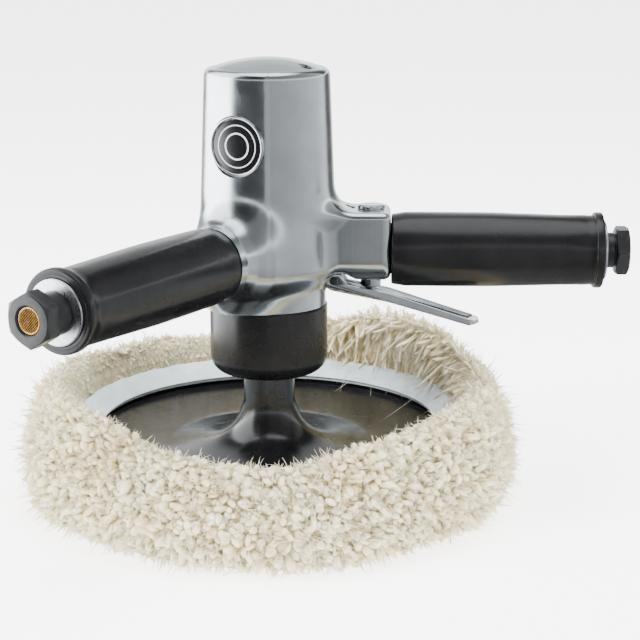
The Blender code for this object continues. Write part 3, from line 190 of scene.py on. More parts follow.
class Bench:
    """The hand moves of the workshop: each one leaves the scene in object mode."""

    @staticmethod
    def clear() -> None:
        """Leave edit mode and drop the selection."""
        if bpy.context.object is not None and bpy.context.object.mode != "OBJECT":
            bpy.ops.object.mode_set(mode="OBJECT")
        bpy.ops.object.select_all(action="DESELECT")

    @staticmethod
    def take(piece: Piece) -> Piece:
        """Select one piece alone and make it the active one.

        Args:
            piece: The piece to select.

        Returns:
            The same piece.
        """
        Bench.clear()
        piece.select_set(True)
        bpy.context.view_layer.objects.active = piece
        return piece

    @staticmethod
    def edit(piece: Piece) -> None:
        """Open a piece in edit mode with everything selected.

        Args:
            piece: The piece to open.
        """
        Bench.take(piece)
        bpy.ops.object.mode_set(mode="EDIT")
        bpy.ops.mesh.select_mode(type="VERT")
        bpy.ops.mesh.select_all(action="SELECT")

    @staticmethod
    def name(piece: Piece, name: str) -> Piece:
        """Name a piece and its mesh.

        Args:
            piece: The piece to name.
            name: The name.

        Returns:
            The same piece.
        """
        piece.name = name
        piece.data.name = name
        return piece

    @staticmethod
    def settle(piece: Piece) -> Piece:
        """Move a piece's place and turn into its mesh.

        Args:
            piece: The piece to settle.

        Returns:
            The same piece.
        """
        Bench.take(piece)
        bpy.ops.object.transform_apply(location=True, rotation=True, scale=True)
        return piece

    @staticmethod
    def place(piece: Piece, frame: Matrix) -> Piece:
        """Carry a piece's mesh into another frame."""
        piece.data.transform(frame)
        return piece

    @staticmethod
    def add_mesh(name: str, mesh: bpy.types.Mesh) -> Piece:
        """Add a mesh to the scene as a piece.

        Args:
            name: Name of the piece.
            mesh: Its mesh.

        Returns:
            The piece.
        """
        piece = bpy.data.objects.new(name, mesh)
        bpy.context.scene.collection.objects.link(piece)
        return piece

    @staticmethod
    def places(piece: Piece) -> np.ndarray:
        """Return the places of a piece's vertices, one in each row.

        Args:
            piece: The piece to read.

        Returns:
            An array of points.
        """
        flat = np.empty(len(piece.data.vertices) * 3)
        piece.data.vertices.foreach_get("co", flat)
        return flat.reshape(-1, 3)

    @staticmethod
    def move_places(piece: Piece, place: np.ndarray) -> None:
        """Put a piece's vertices at new places."""
        piece.data.vertices.foreach_set("co", place.ravel())
        piece.data.update()

    @staticmethod
    def spin(name: str, outline: Outline, steps: int) -> Piece:
        """Turn an outline about Z into a closed round piece.

        Args:
            name: Name of the piece.
            outline: Points of (radius, height).
            steps: Number of steps in the full turn.

        Returns:
            The turned piece.
        """
        mesh = bpy.data.meshes.new(name)
        points = [(radius, 0.0, height) for radius, height in outline]
        spans = [(number, number + 1) for number in range(len(points) - 1)]
        on_axis = outline[0][0] < 1e-9 and outline[-1][0] < 1e-9
        if not on_axis:
            spans.append((len(points) - 1, 0))
        mesh.from_pydata(points, spans, [])
        piece = Bench.add_mesh(name, mesh)
        Bench.edit(piece)
        bpy.ops.mesh.spin(steps=steps, angle=FULL_TURN, center=(0.0, 0.0, 0.0), axis=(0.0, 0.0, 1.0))
        bpy.ops.mesh.select_all(action="SELECT")
        bpy.ops.mesh.remove_doubles(threshold=MERGE)
        bpy.ops.mesh.normals_make_consistent(inside=False)
        Bench.clear()
        return piece

    @staticmethod
    def box(name: str, low: Vector, high: Vector) -> Piece:
        """Add a box between two corners.

        Args:
            name: Name of the piece.
            low: Its lowest corner.
            high: Its highest corner.

        Returns:
            The box.
        """
        Bench.clear()
        middle = (Vector(low) + Vector(high)) / 2.0
        bpy.ops.mesh.primitive_cube_add(size=1.0, location=middle)
        piece = bpy.context.object
        piece.scale = Vector(high) - Vector(low)
        return Bench.settle(Bench.name(piece, name))

    @staticmethod
    def apply(piece: Piece, kind: str, **settings: object) -> Piece:
        """Add a modifier with its settings and apply it.

        Args:
            piece: The piece to change.
            kind: Type of the modifier.
            **settings: Values of the modifier's own properties.

        Returns:
            The same piece.
        """
        Bench.take(piece)
        step = piece.modifiers.new(kind.title(), kind)
        for key, value in settings.items():
            setattr(step, key, value)
        bpy.ops.object.modifier_apply(modifier=step.name)
        return piece

    @staticmethod
    def combine(piece: Piece, tool: Piece, operation: str = "DIFFERENCE",
                solver: str = "EXACT") -> Piece:
        """Cut, join or intersect a piece with a tool, and clear the tool away.

        Args:
            piece: The piece to change.
            tool: The other solid, which is used up.
            operation: DIFFERENCE, UNION or INTERSECT.
            solver: EXACT or MANIFOLD.

        Returns:
            The same piece.
        """
        Bench.apply(piece, "BOOLEAN", operation=operation, solver=solver, object=tool)
        bpy.data.objects.remove(tool)
        return piece

    @staticmethod
    def join(pieces: list[Piece], name: str) -> Piece:
        """Make several pieces one object.

        Args:
            pieces: The pieces, the one to keep first.
            name: Name of the whole.

        Returns:
            The joined piece.
        """
        Bench.clear()
        for piece in pieces:
            piece.select_set(True)
        bpy.context.view_layer.objects.active = pieces[0]
        if len(pieces) > 1:
            bpy.ops.object.join()
        return Bench.name(bpy.context.object, name)

    @staticmethod
    def round_edges(piece: Piece, width: float, segments: int, angle: float) -> Piece:
        """Round the edges sharper than an angle.

        Args:
            piece: The piece to change.
            width: Width of the rounding.
            segments: Number of facets across it.
            angle: The angle, in degrees.

        Returns:
            The same piece.
        """
        return Bench.apply(
            piece, "BEVEL", width=width, segments=segments, limit_method="ANGLE",
            angle_limit=math.radians(angle), use_clamp_overlap=True,
        )

    @staticmethod
    def smooth(piece: Piece, angle: float = 32.0) -> Piece:
        """Shade a piece smooth but for its sharp edges.

        Args:
            piece: The piece to shade.
            angle: Edges sharper than this stay sharp, in degrees.

        Returns:
            The same piece.
        """
        Bench.take(piece)
        bpy.ops.object.shade_smooth_by_angle(angle=math.radians(angle))
        return piece

    @staticmethod
    def copy_node(node: bpy.types.Object, name: str) -> Piece:
        """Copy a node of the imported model, with its loose triangles merged into flat faces.

        Args:
            node: The node to copy.
            name: Name of the copy.

        Returns:
            The copy.
        """
        piece = Bench.add_mesh(name, node.data.copy())
        piece.data.materials.clear()
        Bench.edit(piece)
        bpy.ops.mesh.remove_doubles(threshold=MERGE)
        bpy.ops.mesh.dissolve_limited(angle_limit=math.radians(1.0))
        Bench.clear()
        return piece


def feed(tree: Tree, node: Node, inputs: dict[str | int, object]) -> None:
    """Fill a node's inputs.

    Args:
        tree: The node's tree.
        node: The node.
        inputs: A value, or another node's socket, for each input by name or number.
    """
    for key, value in inputs.items():
        if isinstance(value, Socket):
            tree.links.new(value, node.inputs[key])
        else:
            node.inputs[key].default_value = value


def add_node(tree: Tree, kind: str, inputs: dict[str | int, object], **settings: object) -> Node:
    """Add a shader node and fill its inputs.

    Args:
        tree: The tree that it joins.
        kind: Its type, without the leading ShaderNode.
        inputs: A value, or another node's socket, for each input by name or number.
        **settings: Values of the node's own properties.

    Returns:
        The node.
    """
    node = tree.nodes.new(f"ShaderNode{kind}")
    for key, value in settings.items():
        setattr(node, key, value)
    feed(tree, node, inputs)
    return node


@dataclass(frozen=True)
class Finish:
    """A surface finish: two mottled tones, an uneven gloss and a fine relief."""

    name: str
    main: Colour
    second: Colour
    metallic: float = 0.0
    gloss: tuple[float, float] = (0.4, 0.5)
    patch: float = 60.0
    grain: tuple[float, float, float] = (900.0, 900.0, 900.0)
    relief: float = 0.15
    depth: float = 0.0001
    specular: float = 0.5
    coat: float = 0.0
    coat_roughness: float = 0.12
    sheen: float = 0.0

    def material(self) -> bpy.types.Material:
        """Return the finish as a material, made once."""
        ready = bpy.data.materials.get(f"fine_{self.name}")
        return ready if ready is not None else self.make()

    def make(self) -> bpy.types.Material:
        """Build the material.

        Returns:
            The material, with its nodes.
        """
        paint = bpy.data.materials.new(f"fine_{self.name}")
        paint.use_nodes = True
        tree = paint.node_tree
        shader = tree.nodes["Principled BSDF"]
        feed(tree, shader, {
            "Metallic": self.metallic,
            "Specular IOR Level": self.specular,
            "Coat Weight": self.coat,
            "Coat Roughness": self.coat_roughness,
            "Sheen Weight": self.sheen,
        })
        places = add_node(tree, "TexCoord", {})
        self.colour(tree, shader, places)
        self.polish(tree, shader, places)
        self.texture(tree, shader, places)
        return paint

    def noise(self, tree: Tree, places: Node, scale: tuple[float, float, float],
              detail: float, source: str = "Object") -> Socket:
        """Add a noise stretched by three scales.

        Args:
            tree: The material's nodes.
            places: The node that gives the places on the piece.
            scale: How finely it varies along each axis.
            detail: How many finer noises lie on it.
            source: Which of the places it reads.

        Returns:
            The noise's socket, with values from 0 to 1.
        """
        stretch = add_node(tree, "Mapping", {"Vector": places.outputs[source], "Scale": scale})
        return add_node(tree, "TexNoise", {
            "Vector": stretch.outputs["Vector"], "Scale": 1.0, "Detail": detail,
        }).outputs["Fac"]

    def blend(self, tree: Tree, share: Socket, low: Colour, high: Colour,
              start: float = 0.35, end: float = 0.65) -> Socket:
        """Mix two tones by a share.

        Args:
            tree: The material's nodes.
            share: The socket that gives the share.
            low: The tone below the start.
            high: The tone above the end.
            start: Share where the change begins.
            end: Share where it is done.

        Returns:
            The colour's socket.
        """
        ramp = add_node(tree, "ValToRGB", {"Fac": share})
        stops = ((start, low), (end, high))
        for element, (place, paint) in zip(ramp.color_ramp.elements, stops):
            element.position = place
            element.color = (*paint, 1.0)
        return ramp.outputs["Color"]

    def colour(self, tree: Tree, shader: Node, places: Node) -> None:
        """Mottle the two tones."""
        cloud = self.noise(tree, places, (self.patch,) * 3, 5.0)
        feed(tree, shader, {"Base Color": self.blend(tree, cloud, self.main, self.second)})

    def polish(self, tree: Tree, shader: Node, places: Node) -> None:
        """Vary the roughness between its two limits.

        Args:
            tree: The material's nodes.
            shader: The shader that takes the roughness.
            places: The node that gives the places on the piece.
        """
        cloud = self.noise(tree, places, (self.patch * 2.3,) * 3, 4.0)
        spread = add_node(tree, "MapRange", {
            "Value": cloud, "From Min": 0.3, "From Max": 0.7,
            "To Min": self.gloss[0], "To Max": self.gloss[1],
        })
        feed(tree, shader, {"Roughness": spread.outputs["Result"]})

    def texture(self, tree: Tree, shader: Node, places: Node) -> None:
        """Raise the fine relief."""
        self.lift(tree, shader, self.noise(tree, places, self.grain, 2.0))

    def lift(self, tree: Tree, shader: Node, height: Socket) -> None:
        """Turn a height into relief.

        Args:
            tree: The material's nodes.
            shader: The shader that takes the relief.
            height: The socket that gives the height.
        """
        bump = add_node(tree, "Bump", {
            "Strength": self.relief, "Distance": self.depth, "Height": height,
        })
        feed(tree, shader, {"Normal": bump.outputs["Normal"]})


@dataclass(frozen=True)
class WoolFinish(Finish):
    """Lambswool: painted shade darkens the root of each lock, with strands along it."""

    scatter: float = 0.35
    scatter_reach: float = 0.003

    def colour(self, tree: Tree, shader: Node, places: Node) -> None:
        """Paint shade at the root of each lock, fading out towards its tip, and mottle the fleece.

        Args:
            tree: The material's nodes.
            shader: The shader that takes the colour.
            places: The node that gives the places on the piece.
        """
        split = add_node(tree, "SeparateXYZ", {"Vector": places.outputs["UV"]})
        # The second tone is painted shade at the roots, where the locks crowd together; it gives way to the
        # main tone three quarters of the way up.
        lock = self.blend(tree, split.outputs["Y"], self.second, self.main, 0.0, 0.75)
        cloud = self.noise(tree, places, (self.patch,) * 3, 4.0)
        tint = self.blend(tree, cloud, tone("fffef8"), tone("f5ebd0"), 0.40, 0.75)
        mixer = add_node(tree, "Mix", {"Factor": 1.0, "A": lock, "B": tint},
                         data_type="RGBA", blend_type="MULTIPLY")
        feed(tree, shader, {
            "Base Color": mixer.outputs["Result"],
            "Subsurface Weight": self.scatter,
            "Subsurface Radius": (1.0, 0.8, 0.55),
            "Subsurface Scale": self.scatter_reach,
        })

    def texture(self, tree: Tree, shader: Node, places: Node) -> None:
        """Raise the strands, which run from root to tip.

        Args:
            tree: The material's nodes.
            shader: The shader that takes the relief.
            places: The node that gives the places on the piece.
        """
        strands = self.noise(tree, places, (20.0, 1.0, 1.0), 3.0, "UV")
        fuzz = self.noise(tree, places, self.grain, 3.0)
        total = add_node(tree, "Math", {0: strands, 1: fuzz}, operation="ADD")
        self.lift(tree, shader, total.outputs["Value"])


@dataclass(frozen=True)
class BadgeFinish(Finish):
    """Black enamel with plain grey rings about its centre, in place of any mark."""

    centre: tuple[float, float, float] = (0.0, 0.0, 0.0)
    radius: float = 0.013
    rings: tuple[tuple[float, float], ...] = ((0.45, 0.51), (0.76, 0.80))

    def colour(self, tree: Tree, shader: Node, places: Node) -> None:
        """Paint the rings, each between two shares of the radius.

        Args:
            tree: The material's nodes.
            shader: The shader that takes the colour.
            places: The node that gives the places on the piece.
        """
        frame = add_node(tree, "Mapping", {
            "Vector": places.outputs["Object"], "Location": self.centre,
            "Scale": (self.radius,) * 3,
        }, vector_type="TEXTURE")
        reach = add_node(tree, "VectorMath", {0: frame.outputs["Vector"]}, operation="LENGTH")
        under: object = (*self.main, 1.0)
        for low, high in self.rings:
            inside = add_node(tree, "Math", {
                0: reach.outputs["Value"], 1: (low + high) / 2.0, 2: (high - low) / 2.0,
            }, operation="COMPARE")
            under = add_node(tree, "Mix", {
                "Factor": inside.outputs["Value"], "A": under, "B": (*self.second, 1.0),
            }, data_type="RGBA").outputs["Result"]
        feed(tree, shader, {"Base Color": under})


BRUSHED_CASTING = Finish(
    "brushed_casting", tone("d3d8db"), tone("c3c9cd"), metallic=1.0, gloss=(0.17, 0.25), patch=45.0,
    grain=(1700.0, 1700.0, 26.0), relief=0.16, depth=0.00005,
)
TURNED_ALUMINIUM = Finish(
    "turned_aluminium", tone("dfe2e3"), tone("cfd3d5"), metallic=1.0, gloss=(0.25, 0.36), patch=200.0,
    grain=(300.0, 2400.0, 2400.0), relief=0.12, depth=0.00005,
)
SATIN_BLACK = Finish(
    "satin_black", tone("0d0d0e"), tone("131314"), gloss=(0.24, 0.32), patch=50.0, grain=(2200.0,) * 3,
    relief=0.05, depth=0.00004, specular=0.35,
)
GLOSS_BLACK = Finish(
    "gloss_black_rubber", tone("0a0a0b"), tone("101011"), gloss=(0.16, 0.30), patch=60.0,
    grain=(500.0,) * 3, relief=0.05, depth=0.00008, coat=0.3,
)
GRIP_RUBBER = Finish(
    "grip_rubber", tone("0a0a0b"), tone("0e0e0f"), gloss=(0.22, 0.28), patch=70.0, grain=(1800.0,) * 3,
    relief=0.07, depth=0.00006, specular=0.35,
)
BLACK_OXIDE = Finish(
    "black_oxide", tone("101112"), tone("18191b"), metallic=0.1, gloss=(0.30, 0.42), patch=180.0,
    grain=(2600.0,) * 3, relief=0.10, depth=0.00005,
)
BRIGHT_PLATE = Finish(
    "bright_plate", tone("d6dade"), tone("c4c9ce"), metallic=1.0, gloss=(0.10, 0.2), patch=120.0,
    grain=(400.0, 3000.0, 3000.0), relief=0.04, depth=0.00003,
)
BRASS = Finish(
    "brass", tone("c9a062"), tone("a57c45"), metallic=0.75, gloss=(0.3, 0.45), patch=500.0,
    grain=(3500.0,) * 3, relief=0.1, depth=0.00004,
)
GROUND_STEEL = Finish(
    "ground_steel", tone("a9adb0"), tone("8f9498"), metallic=1.0, gloss=(0.2, 0.34), patch=150.0,
    grain=(3000.0, 3000.0, 260.0), relief=0.08, depth=0.00004,
)
BEARING_STEEL = Finish(
    "bearing_steel", tone("b8bcc0"), tone("a3a8ac"), metallic=1.0, gloss=(0.12, 0.2), patch=120.0,
    grain=(2500.0,) * 3, relief=0.04, depth=0.00003,
)
SEAL_RUBBER = Finish(
    "seal_rubber", tone("141414"), tone("1d1b1a"), gloss=(0.45, 0.6), patch=200.0, grain=(2500.0,) * 3,
    relief=0.12, depth=0.00005,
)
FELT = Finish(
    "felt", tone("b9b19d"), tone("9c947f"), gloss=(0.85, 0.95), patch=400.0,
    grain=(2600.0, 2600.0, 700.0), relief=0.6, depth=0.0003, sheen=0.3,
)
PHENOLIC = Finish(
    "phenolic", tone("6e4a2b"), tone("54371f"), gloss=(0.45, 0.6), patch=160.0,
    grain=(200.0, 200.0, 3000.0), relief=0.15, depth=0.00005,
)
# The hem's bluish grey is partly painted shade: the cool tone of cloth lying in shadow under the fleece.
HEM_CLOTH = Finish(
    "hem_cloth", tone("c3ccd0"), tone("aab7bd"), gloss=(0.7, 0.85), patch=90.0, grain=(1600.0,) * 3,
    relief=0.45, depth=0.0002, sheen=0.3,
)
CORD_COTTON = Finish(
    "cord_cotton", tone("ece6d6"), tone("d8d0ba"), gloss=(0.8, 0.95), patch=300.0, grain=(2000.0,) * 3,
    relief=0.5, depth=0.0002,
)
# Its second tone is the painted shade at the roots of the locks.
LAMBSWOOL = WoolFinish(
    "lambswool", tone("fbf0ce"), tone("dfca92"), gloss=(0.75, 0.9), patch=38.0, grain=(1100.0,) * 3,
    relief=1.0, depth=0.0008, sheen=0.25,
)


def finished(piece: Piece, finish: Finish, body: Body, slot: str, *nodes: str) -> Piece:
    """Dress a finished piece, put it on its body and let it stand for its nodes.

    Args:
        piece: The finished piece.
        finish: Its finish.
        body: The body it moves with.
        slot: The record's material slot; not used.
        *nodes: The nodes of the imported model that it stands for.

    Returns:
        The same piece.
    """
    piece.data.materials.clear()
    piece.data.materials.append(finish.material())
    piece.data.polygons.foreach_set("material_index", np.zeros(len(piece.data.polygons), np.int32))
    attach(piece, body.value)
    if nodes:
        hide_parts(*nodes)
    log.info("%s: %d faces on %s", piece.name, len(piece.data.polygons), body.value)
    return piece


class DistanceField:
    """Distances to simple solids, smoothly joined, for shapes that melt into each other."""

    @staticmethod
    def join(first: np.ndarray, second: np.ndarray, fillet: np.ndarray | float) -> np.ndarray:
        """Join two solids with a fillet between them."""
        share = np.clip(0.5 + 0.5 * (second - first) / fillet, 0.0, 1.0)
        return second * (1.0 - share) + first * share - fillet * share * (1.0 - share)

    @staticmethod
    def common(first: np.ndarray, second: np.ndarray, fillet: float) -> np.ndarray:
        """Keep what two solids share, with a rounded edge."""
        return -DistanceField.join(-first, -second, fillet)

    @staticmethod
    def outline(across: np.ndarray, up: np.ndarray, points: Outline) -> np.ndarray:
        """Return signed distances to a closed outline, negative inside.

        Args:
            across: First coordinate of each place.
            up: Second coordinate of each place.
            points: The outline's corners in order.

        Returns:
            One distance for each place.
        """
        best = np.full(across.shape, 1e9)
        inside = np.zeros(across.shape, bool)
        for (ax, ay), (bx, by) in zip(points, points[1:] + points[:1]):
            ex, ey = bx - ax, by - ay
            wx, wy = across - ax, up - ay
            share = np.clip((wx * ex + wy * ey) / (ex * ex + ey * ey + 1e-18), 0.0, 1.0)
            best = np.minimum(best, (wx - ex * share) ** 2 + (wy - ey * share) ** 2)
            if abs(ey) > 1e-12:
                crosses = (ay <= up) != (by <= up)
                inside ^= crosses & (wx < ex * wy / ey)
        distance = np.sqrt(best)
        return np.where(inside, -distance, distance)

    @staticmethod
    def extrusion(flat: np.ndarray, along: np.ndarray, edge: float) -> np.ndarray:
        """Give a flat distance a thickness and rounded edges."""
        outside = np.hypot(np.maximum(flat, 0.0), np.maximum(along, 0.0))
        return outside + np.minimum(np.maximum(flat, along), 0.0) - edge


@dataclass
class MotorHousing:
    """The cast aluminium body with its throttle block, exhaust boss and stubs."""

    bottom: float = 0.0967
    skirt_radius: float = 0.0284
    skirt_height: float = 0.0080
    waist_radius: float = 0.0342
    top_radius: float = 0.0304
    handle_height: float = HANDLE_HEIGHT
    rim_height: float = 0.2130
    rim_fillet: float = 0.0040
    dome_rise: float = 0.0047
    bore: float = 0.0250
    bore_top: float = 0.2066
    block_end: float = 0.0604
    block_half_depth: float = 0.0160
    block_top: float = BLOCK_TOP
    block_bottom: float = BLOCK_BOTTOM
    block_step: float = 0.0039
    block_edge: float = 0.0035
    pivot: tuple[float, float] = LEVER_PIVOT
    lug_half_width: float = 0.0052
    ear_half_width: float = 0.0088
    valve_x: float = VALVE_X
    regulator_x: float = REGULATOR_X
    grip_radius: float = GRIP_RADIUS
    exhaust_start: float = EXHAUST_START
    inlet_start: float = INLET_START
    stub_radius: float = 0.0120
    exhaust_bore: float = 0.0058
    stub_length: float = STUB_LENGTH
    stub_thread: float = STUB_THREAD
    voxel: float = 0.00075
    trim: float = 0.0040
    valve_well: tuple[tuple[float, float], ...] = (
        (0.0, 0.1045), (0.0045, 0.1045), (0.0045, 0.1137), (0.0050, 0.1137),
        (0.0050, 0.1237), (0.0062, 0.1237), (0.0062, 0.150), (0.0, 0.150),
    )

    def wall(self, height: float) -> float:
        """Return the drafted wall's radius at a height."""
        share = (height - self.handle_height) / (self.rim_height - self.handle_height)
        return self.waist_radius + (self.top_radius - self.waist_radius) * share

    def body_outline(self) -> Outline:
        """Return the outline of the round body, left long below for trimming.

        Returns:
            The outline from the axis round to the axis.
        """
        shoulder = self.rim_height - self.rim_fillet
        edge = self.wall(shoulder)
        flare = self.bottom + self.skirt_height
        outline = [(0.0, self.bottom - self.trim), (self.skirt_radius, self.bottom - self.trim)]
        swell_top = self.handle_height - 0.0065
        swell = self.waist_radius - self.skirt_radius
        for step in range(9):
            share = step / 8.0
            radius = self.skirt_radius + swell * float(ease(share, 0.0, 1.0))
            outline.append((radius, flare + (swell_top - flare) * share))
        outline.append((edge, shoulder))
        outline += arc((edge - self.rim_fillet, shoulder), self.rim_fillet, 8.0, 76.0, 6)
        crown = edge - self.rim_fillet
        for step in range(8):
            off = 1.0 - step / 8.0
            outline.append((crown * off, self.rim_height + self.dome_rise * (1.0 - off ** 2)))
        outline.append((0.0, self.rim_height + self.dome_rise))
        return outline

    def exhaust_frame(self) -> Matrix:
        """Return the frame whose Z axis runs out along the exhaust handle."""
        return Handle.frame_at(EXHAUST_TURN, self.handle_height)

    def relief(self, turn: np.ndarray, height: np.ndarray) -> np.ndarray:
        """Return how far the casting stands off its round body.

        Args:
            turn: Angle of each place round the body, in degrees from -180 to 180.
            height: Height of each place.

        Returns:
            Distances outwards: a lobe under the exhaust boss and a flatter panel at the front.
        """
        lobe_turn = np.abs((turn + 152.0 + 180.0) % 360.0 - 180.0)
        lobe = 0.0048 * (1.0 - ease(lobe_turn, 22.0, 56.0)) * (1.0 - ease(height, 0.1035, 0.1200))
        panel = ease(turn, -88.0, -84.0) * (1.0 - ease(turn, -62.0, -20.0))
        return lobe - 0.00055 * panel

    def distance(self, place: np.ndarray) -> np.ndarray:
        """Return signed distances from places to the casting's skin.

        Args:
            place: An array of points, one in each row.

        Returns:
            One distance for each point, negative inside.
        """
        x, y, z = place.T
        turn = np.degrees(np.arctan2(y, x))
        round_off = np.hypot(x, y)
        body = DistanceField.outline(round_off - self.relief(turn, z), z, self.body_outline())
        block = self.block_distance(x, y, z)
        lug = self.lug_distance(x, y, z)
        fillet = 0.0045 + 0.0085 * ease(z, self.block_top - 0.010, self.block_top + 0.001)
        skin = DistanceField.join(body, DistanceField.join(block, lug, 0.0015), fillet)
        boss, stub = self.boss_distance(place)
        skin = DistanceField.join(skin, boss, 0.0130)
        inlet_stub = np.maximum(np.hypot(y, z - self.handle_height) - self.stub_radius,
                                np.abs(x - 0.062) - (self.inlet_start + self.stub_length - 0.062))
        return np.minimum(np.minimum(skin, stub), inlet_stub)

    def block_distance(self, x: np.ndarray, y: np.ndarray, z: np.ndarray) -> np.ndarray:
        """Return distances to the throttle block, with its lower chamfers.

        Args:
            x: Places along the inlet handle.
            y: Places across it.
            z: Heights.

        Returns:
            One distance for each place, negative inside.
        """
        edge = self.block_edge
        step_end = self.pivot[0] + 0.0060
        foot = self.block_bottom + self.block_step
        side = [
            (0.0, foot + edge),
            (step_end, foot + edge),
            (step_end + self.block_step * 1.4, self.block_bottom + edge),
            (self.block_end - edge, self.block_bottom + edge),
            (self.block_end - edge, self.block_top - edge),
            (0.0, self.block_top - edge),
        ]
        flat = DistanceField.outline(x, z, side)
        block = DistanceField.extrusion(flat, np.abs(y) - (self.block_half_depth - edge), edge)
        chamfer_start = self.block_bottom + 0.0075
        chamfer = ((np.abs(y) - self.block_half_depth) + (chamfer_start - z)) * math.sqrt(0.5)
        return DistanceField.common(block, chamfer, 0.0030)

    def lug_distance(self, x: np.ndarray, y: np.ndarray, z: np.ndarray) -> np.ndarray:
        """Return distances to the lug between the lever's ears.

        Args:
            x: Places along the inlet handle.
            y: Places across it.
            z: Heights.

        Returns:
            One distance for each place, negative inside.
        """
        edge = 0.0008
        foot = self.pivot[1] - 0.0032
        nose = self.pivot[0] + 0.0046
        top = self.block_bottom + self.block_step + 0.004
        side = [(0.021, foot + edge), (nose - edge, foot + edge), (nose - edge, top), (0.021, top)]
        flat = DistanceField.outline(x, z, side)
        return DistanceField.extrusion(flat, np.abs(y) - (self.lug_half_width - edge), edge)

    def boss_distance(self, place: np.ndarray) -> tuple[np.ndarray, np.ndarray]:
        """Return distances to the flared exhaust boss and to the stub inside its grip.

        Args:
            place: An array of points, one in each row.

        Returns:
            Distances to the boss and to the stub.
        """
        inward = np.array(self.exhaust_frame().inverted())
        local = place @ inward[:3, :3].T + inward[:3, 3]
        off = np.hypot(local[:, 0], local[:, 1])
        along = local[:, 2]
        start = self.exhaust_start
        outline = [
            (0.0, 0.010),
            (self.grip_radius + 0.0052, 0.010),
            (self.grip_radius + 0.0040, start - 0.0190),
            (self.grip_radius + 0.0008, start - 0.0110),
            (self.grip_radius - 0.0006, start - 0.0050),
            (self.grip_radius - 0.0008, start + self.trim),
            (0.0, start + self.trim),
        ]
        boss = DistanceField.outline(off, along, outline)
        end = start + self.stub_length
        stub = np.maximum(off - self.stub_radius, np.abs(along - end / 2.0) - end / 2.0)
        return boss, stub

    def rough_out(self) -> Piece:
        """Return a rough union of plain solids near the casting's skin.

        Returns:
            The rough piece.
        """
        body = Bench.spin("motor_housing_fine", self.body_outline(), 96)
        edge = self.block_edge * 0.3
        depth = self.block_half_depth - edge
        block = Bench.box("rough_block", Vector((0.0, -depth, self.block_bottom + edge)),
                          Vector((self.block_end - edge, depth, self.block_top - edge)))
        lug = Bench.box("rough_lug", Vector((0.02, -self.lug_half_width, self.pivot[1] - 0.0032)),
                        Vector((self.pivot[0] + 0.0046, self.lug_half_width, self.block_top - 0.010)))
        root = 0.010
        boss_end = self.exhaust_start + self.trim
        boss = Bench.spin("rough_boss", rod(self.grip_radius - 0.0005, root, boss_end), 64)
        stub_end = self.exhaust_start + self.stub_length
        stub = Bench.spin("rough_stub", rod(self.stub_radius, root, stub_end), 48)
        inlet_end = self.inlet_start + self.stub_length
        inlet = Bench.spin("rough_inlet", rod(self.stub_radius, root, inlet_end), 48)
        for piece in (boss, stub):
            Bench.place(piece, self.exhaust_frame())
        Bench.place(inlet, Handle.frame_at(0.0, self.handle_height))
        return Bench.join([body, block, lug, boss, stub, inlet], "motor_housing_fine")

    def shrink(self, piece: Piece, rounds: int) -> None:
        """Draw every vertex onto the casting's skin.

        Args:
            piece: The piece whose mesh is moved.
            rounds: How many times to step towards the skin.
        """
        place = Bench.places(piece)
        reach = 0.00002
        for _ in range(rounds):
            here = self.distance(place)
            slope = np.empty_like(place)
            for axis in range(3):
                ahead = place.copy()
                ahead[:, axis] += reach
                slope[:, axis] = (self.distance(ahead) - here) / reach
            size = np.maximum(np.linalg.norm(slope, axis=1), 0.3)
            step = slope * (np.clip(here, -0.002, 0.002) / size ** 2)[:, None]
            place = place - step
        Bench.move_places(piece, place)

    def machine(self, piece: Piece) -> None:
        """Cut the bores, slots, seat and pockets that are machined after casting.

        Args:
            piece: The casting.
        """
        low = self.bottom
        tools = [
            Bench.box("bottom_cut", Vector((-0.06, -0.06, low - 0.03)), Vector((0.06, 0.06, low))),
            Bench.spin("motor_bore", rod(self.bore, low - 0.04, self.bore_top), 96),
        ]
        face, clear = self.exhaust_start - GAP, 0.030
        trimmer = [(self.stub_radius, face), (clear, face)]
        trimmer += [(clear, face + clear), (self.stub_radius, face + clear)]
        tools.append(Bench.place(Bench.spin("boss_face", trimmer, 96), self.exhaust_frame()))
        bore, step = self.exhaust_bore, self.exhaust_start - 0.008
        mouth = self.exhaust_start + self.stub_length + 0.002
        passage = [(0.0, 0.022), (bore, 0.022), (bore, step), (self.stub_thread, step)]
        passage += [(self.stub_thread, mouth), (0.0, mouth)]
        tools.append(Bench.place(Bench.spin("exhaust_passage", passage, 48), self.exhaust_frame()))
        thread = rod(self.stub_thread, self.valve_x + 0.0077, self.inlet_start + self.stub_length + 0.002)
        inlet_frame = Handle.frame_at(0.0, self.handle_height)
        tools.append(Bench.place(Bench.spin("inlet_thread", thread, 48), inlet_frame))
        well = Bench.spin("valve_well", list(self.valve_well), 48)
        tools.append(Bench.place(well, Matrix.Translation((self.valve_x, 0.0, 0.0))))
        screw_hole = Bench.spin("regulator_hole", rod(0.0025, 0.1204, 0.150), 32)
        tools.append(Bench.place(screw_hole, Matrix.Translation((self.regulator_x, 0.0, 0.0))))
        for side in (-1.0, 1.0):
            near = side * (self.lug_half_width + GAP)
            far = side * self.ear_half_width
            tools.append(Bench.box("ear_slot", Vector((0.0263, min(near, far), 0.1035)),
                                   Vector((self.pivot[0] + 0.0150, max(near, far), 0.1134))))
        pin = Bench.spin("pin_hole", rod(0.0022, -0.03, 0.03), 32)
        tools.append(Bench.place(pin, pin_frame(self.pivot)))
        tools += [OilPlug().pocket(), Badge().seat()]
        for tool in tools:
            Bench.combine(piece, tool, solver="MANIFOLD")

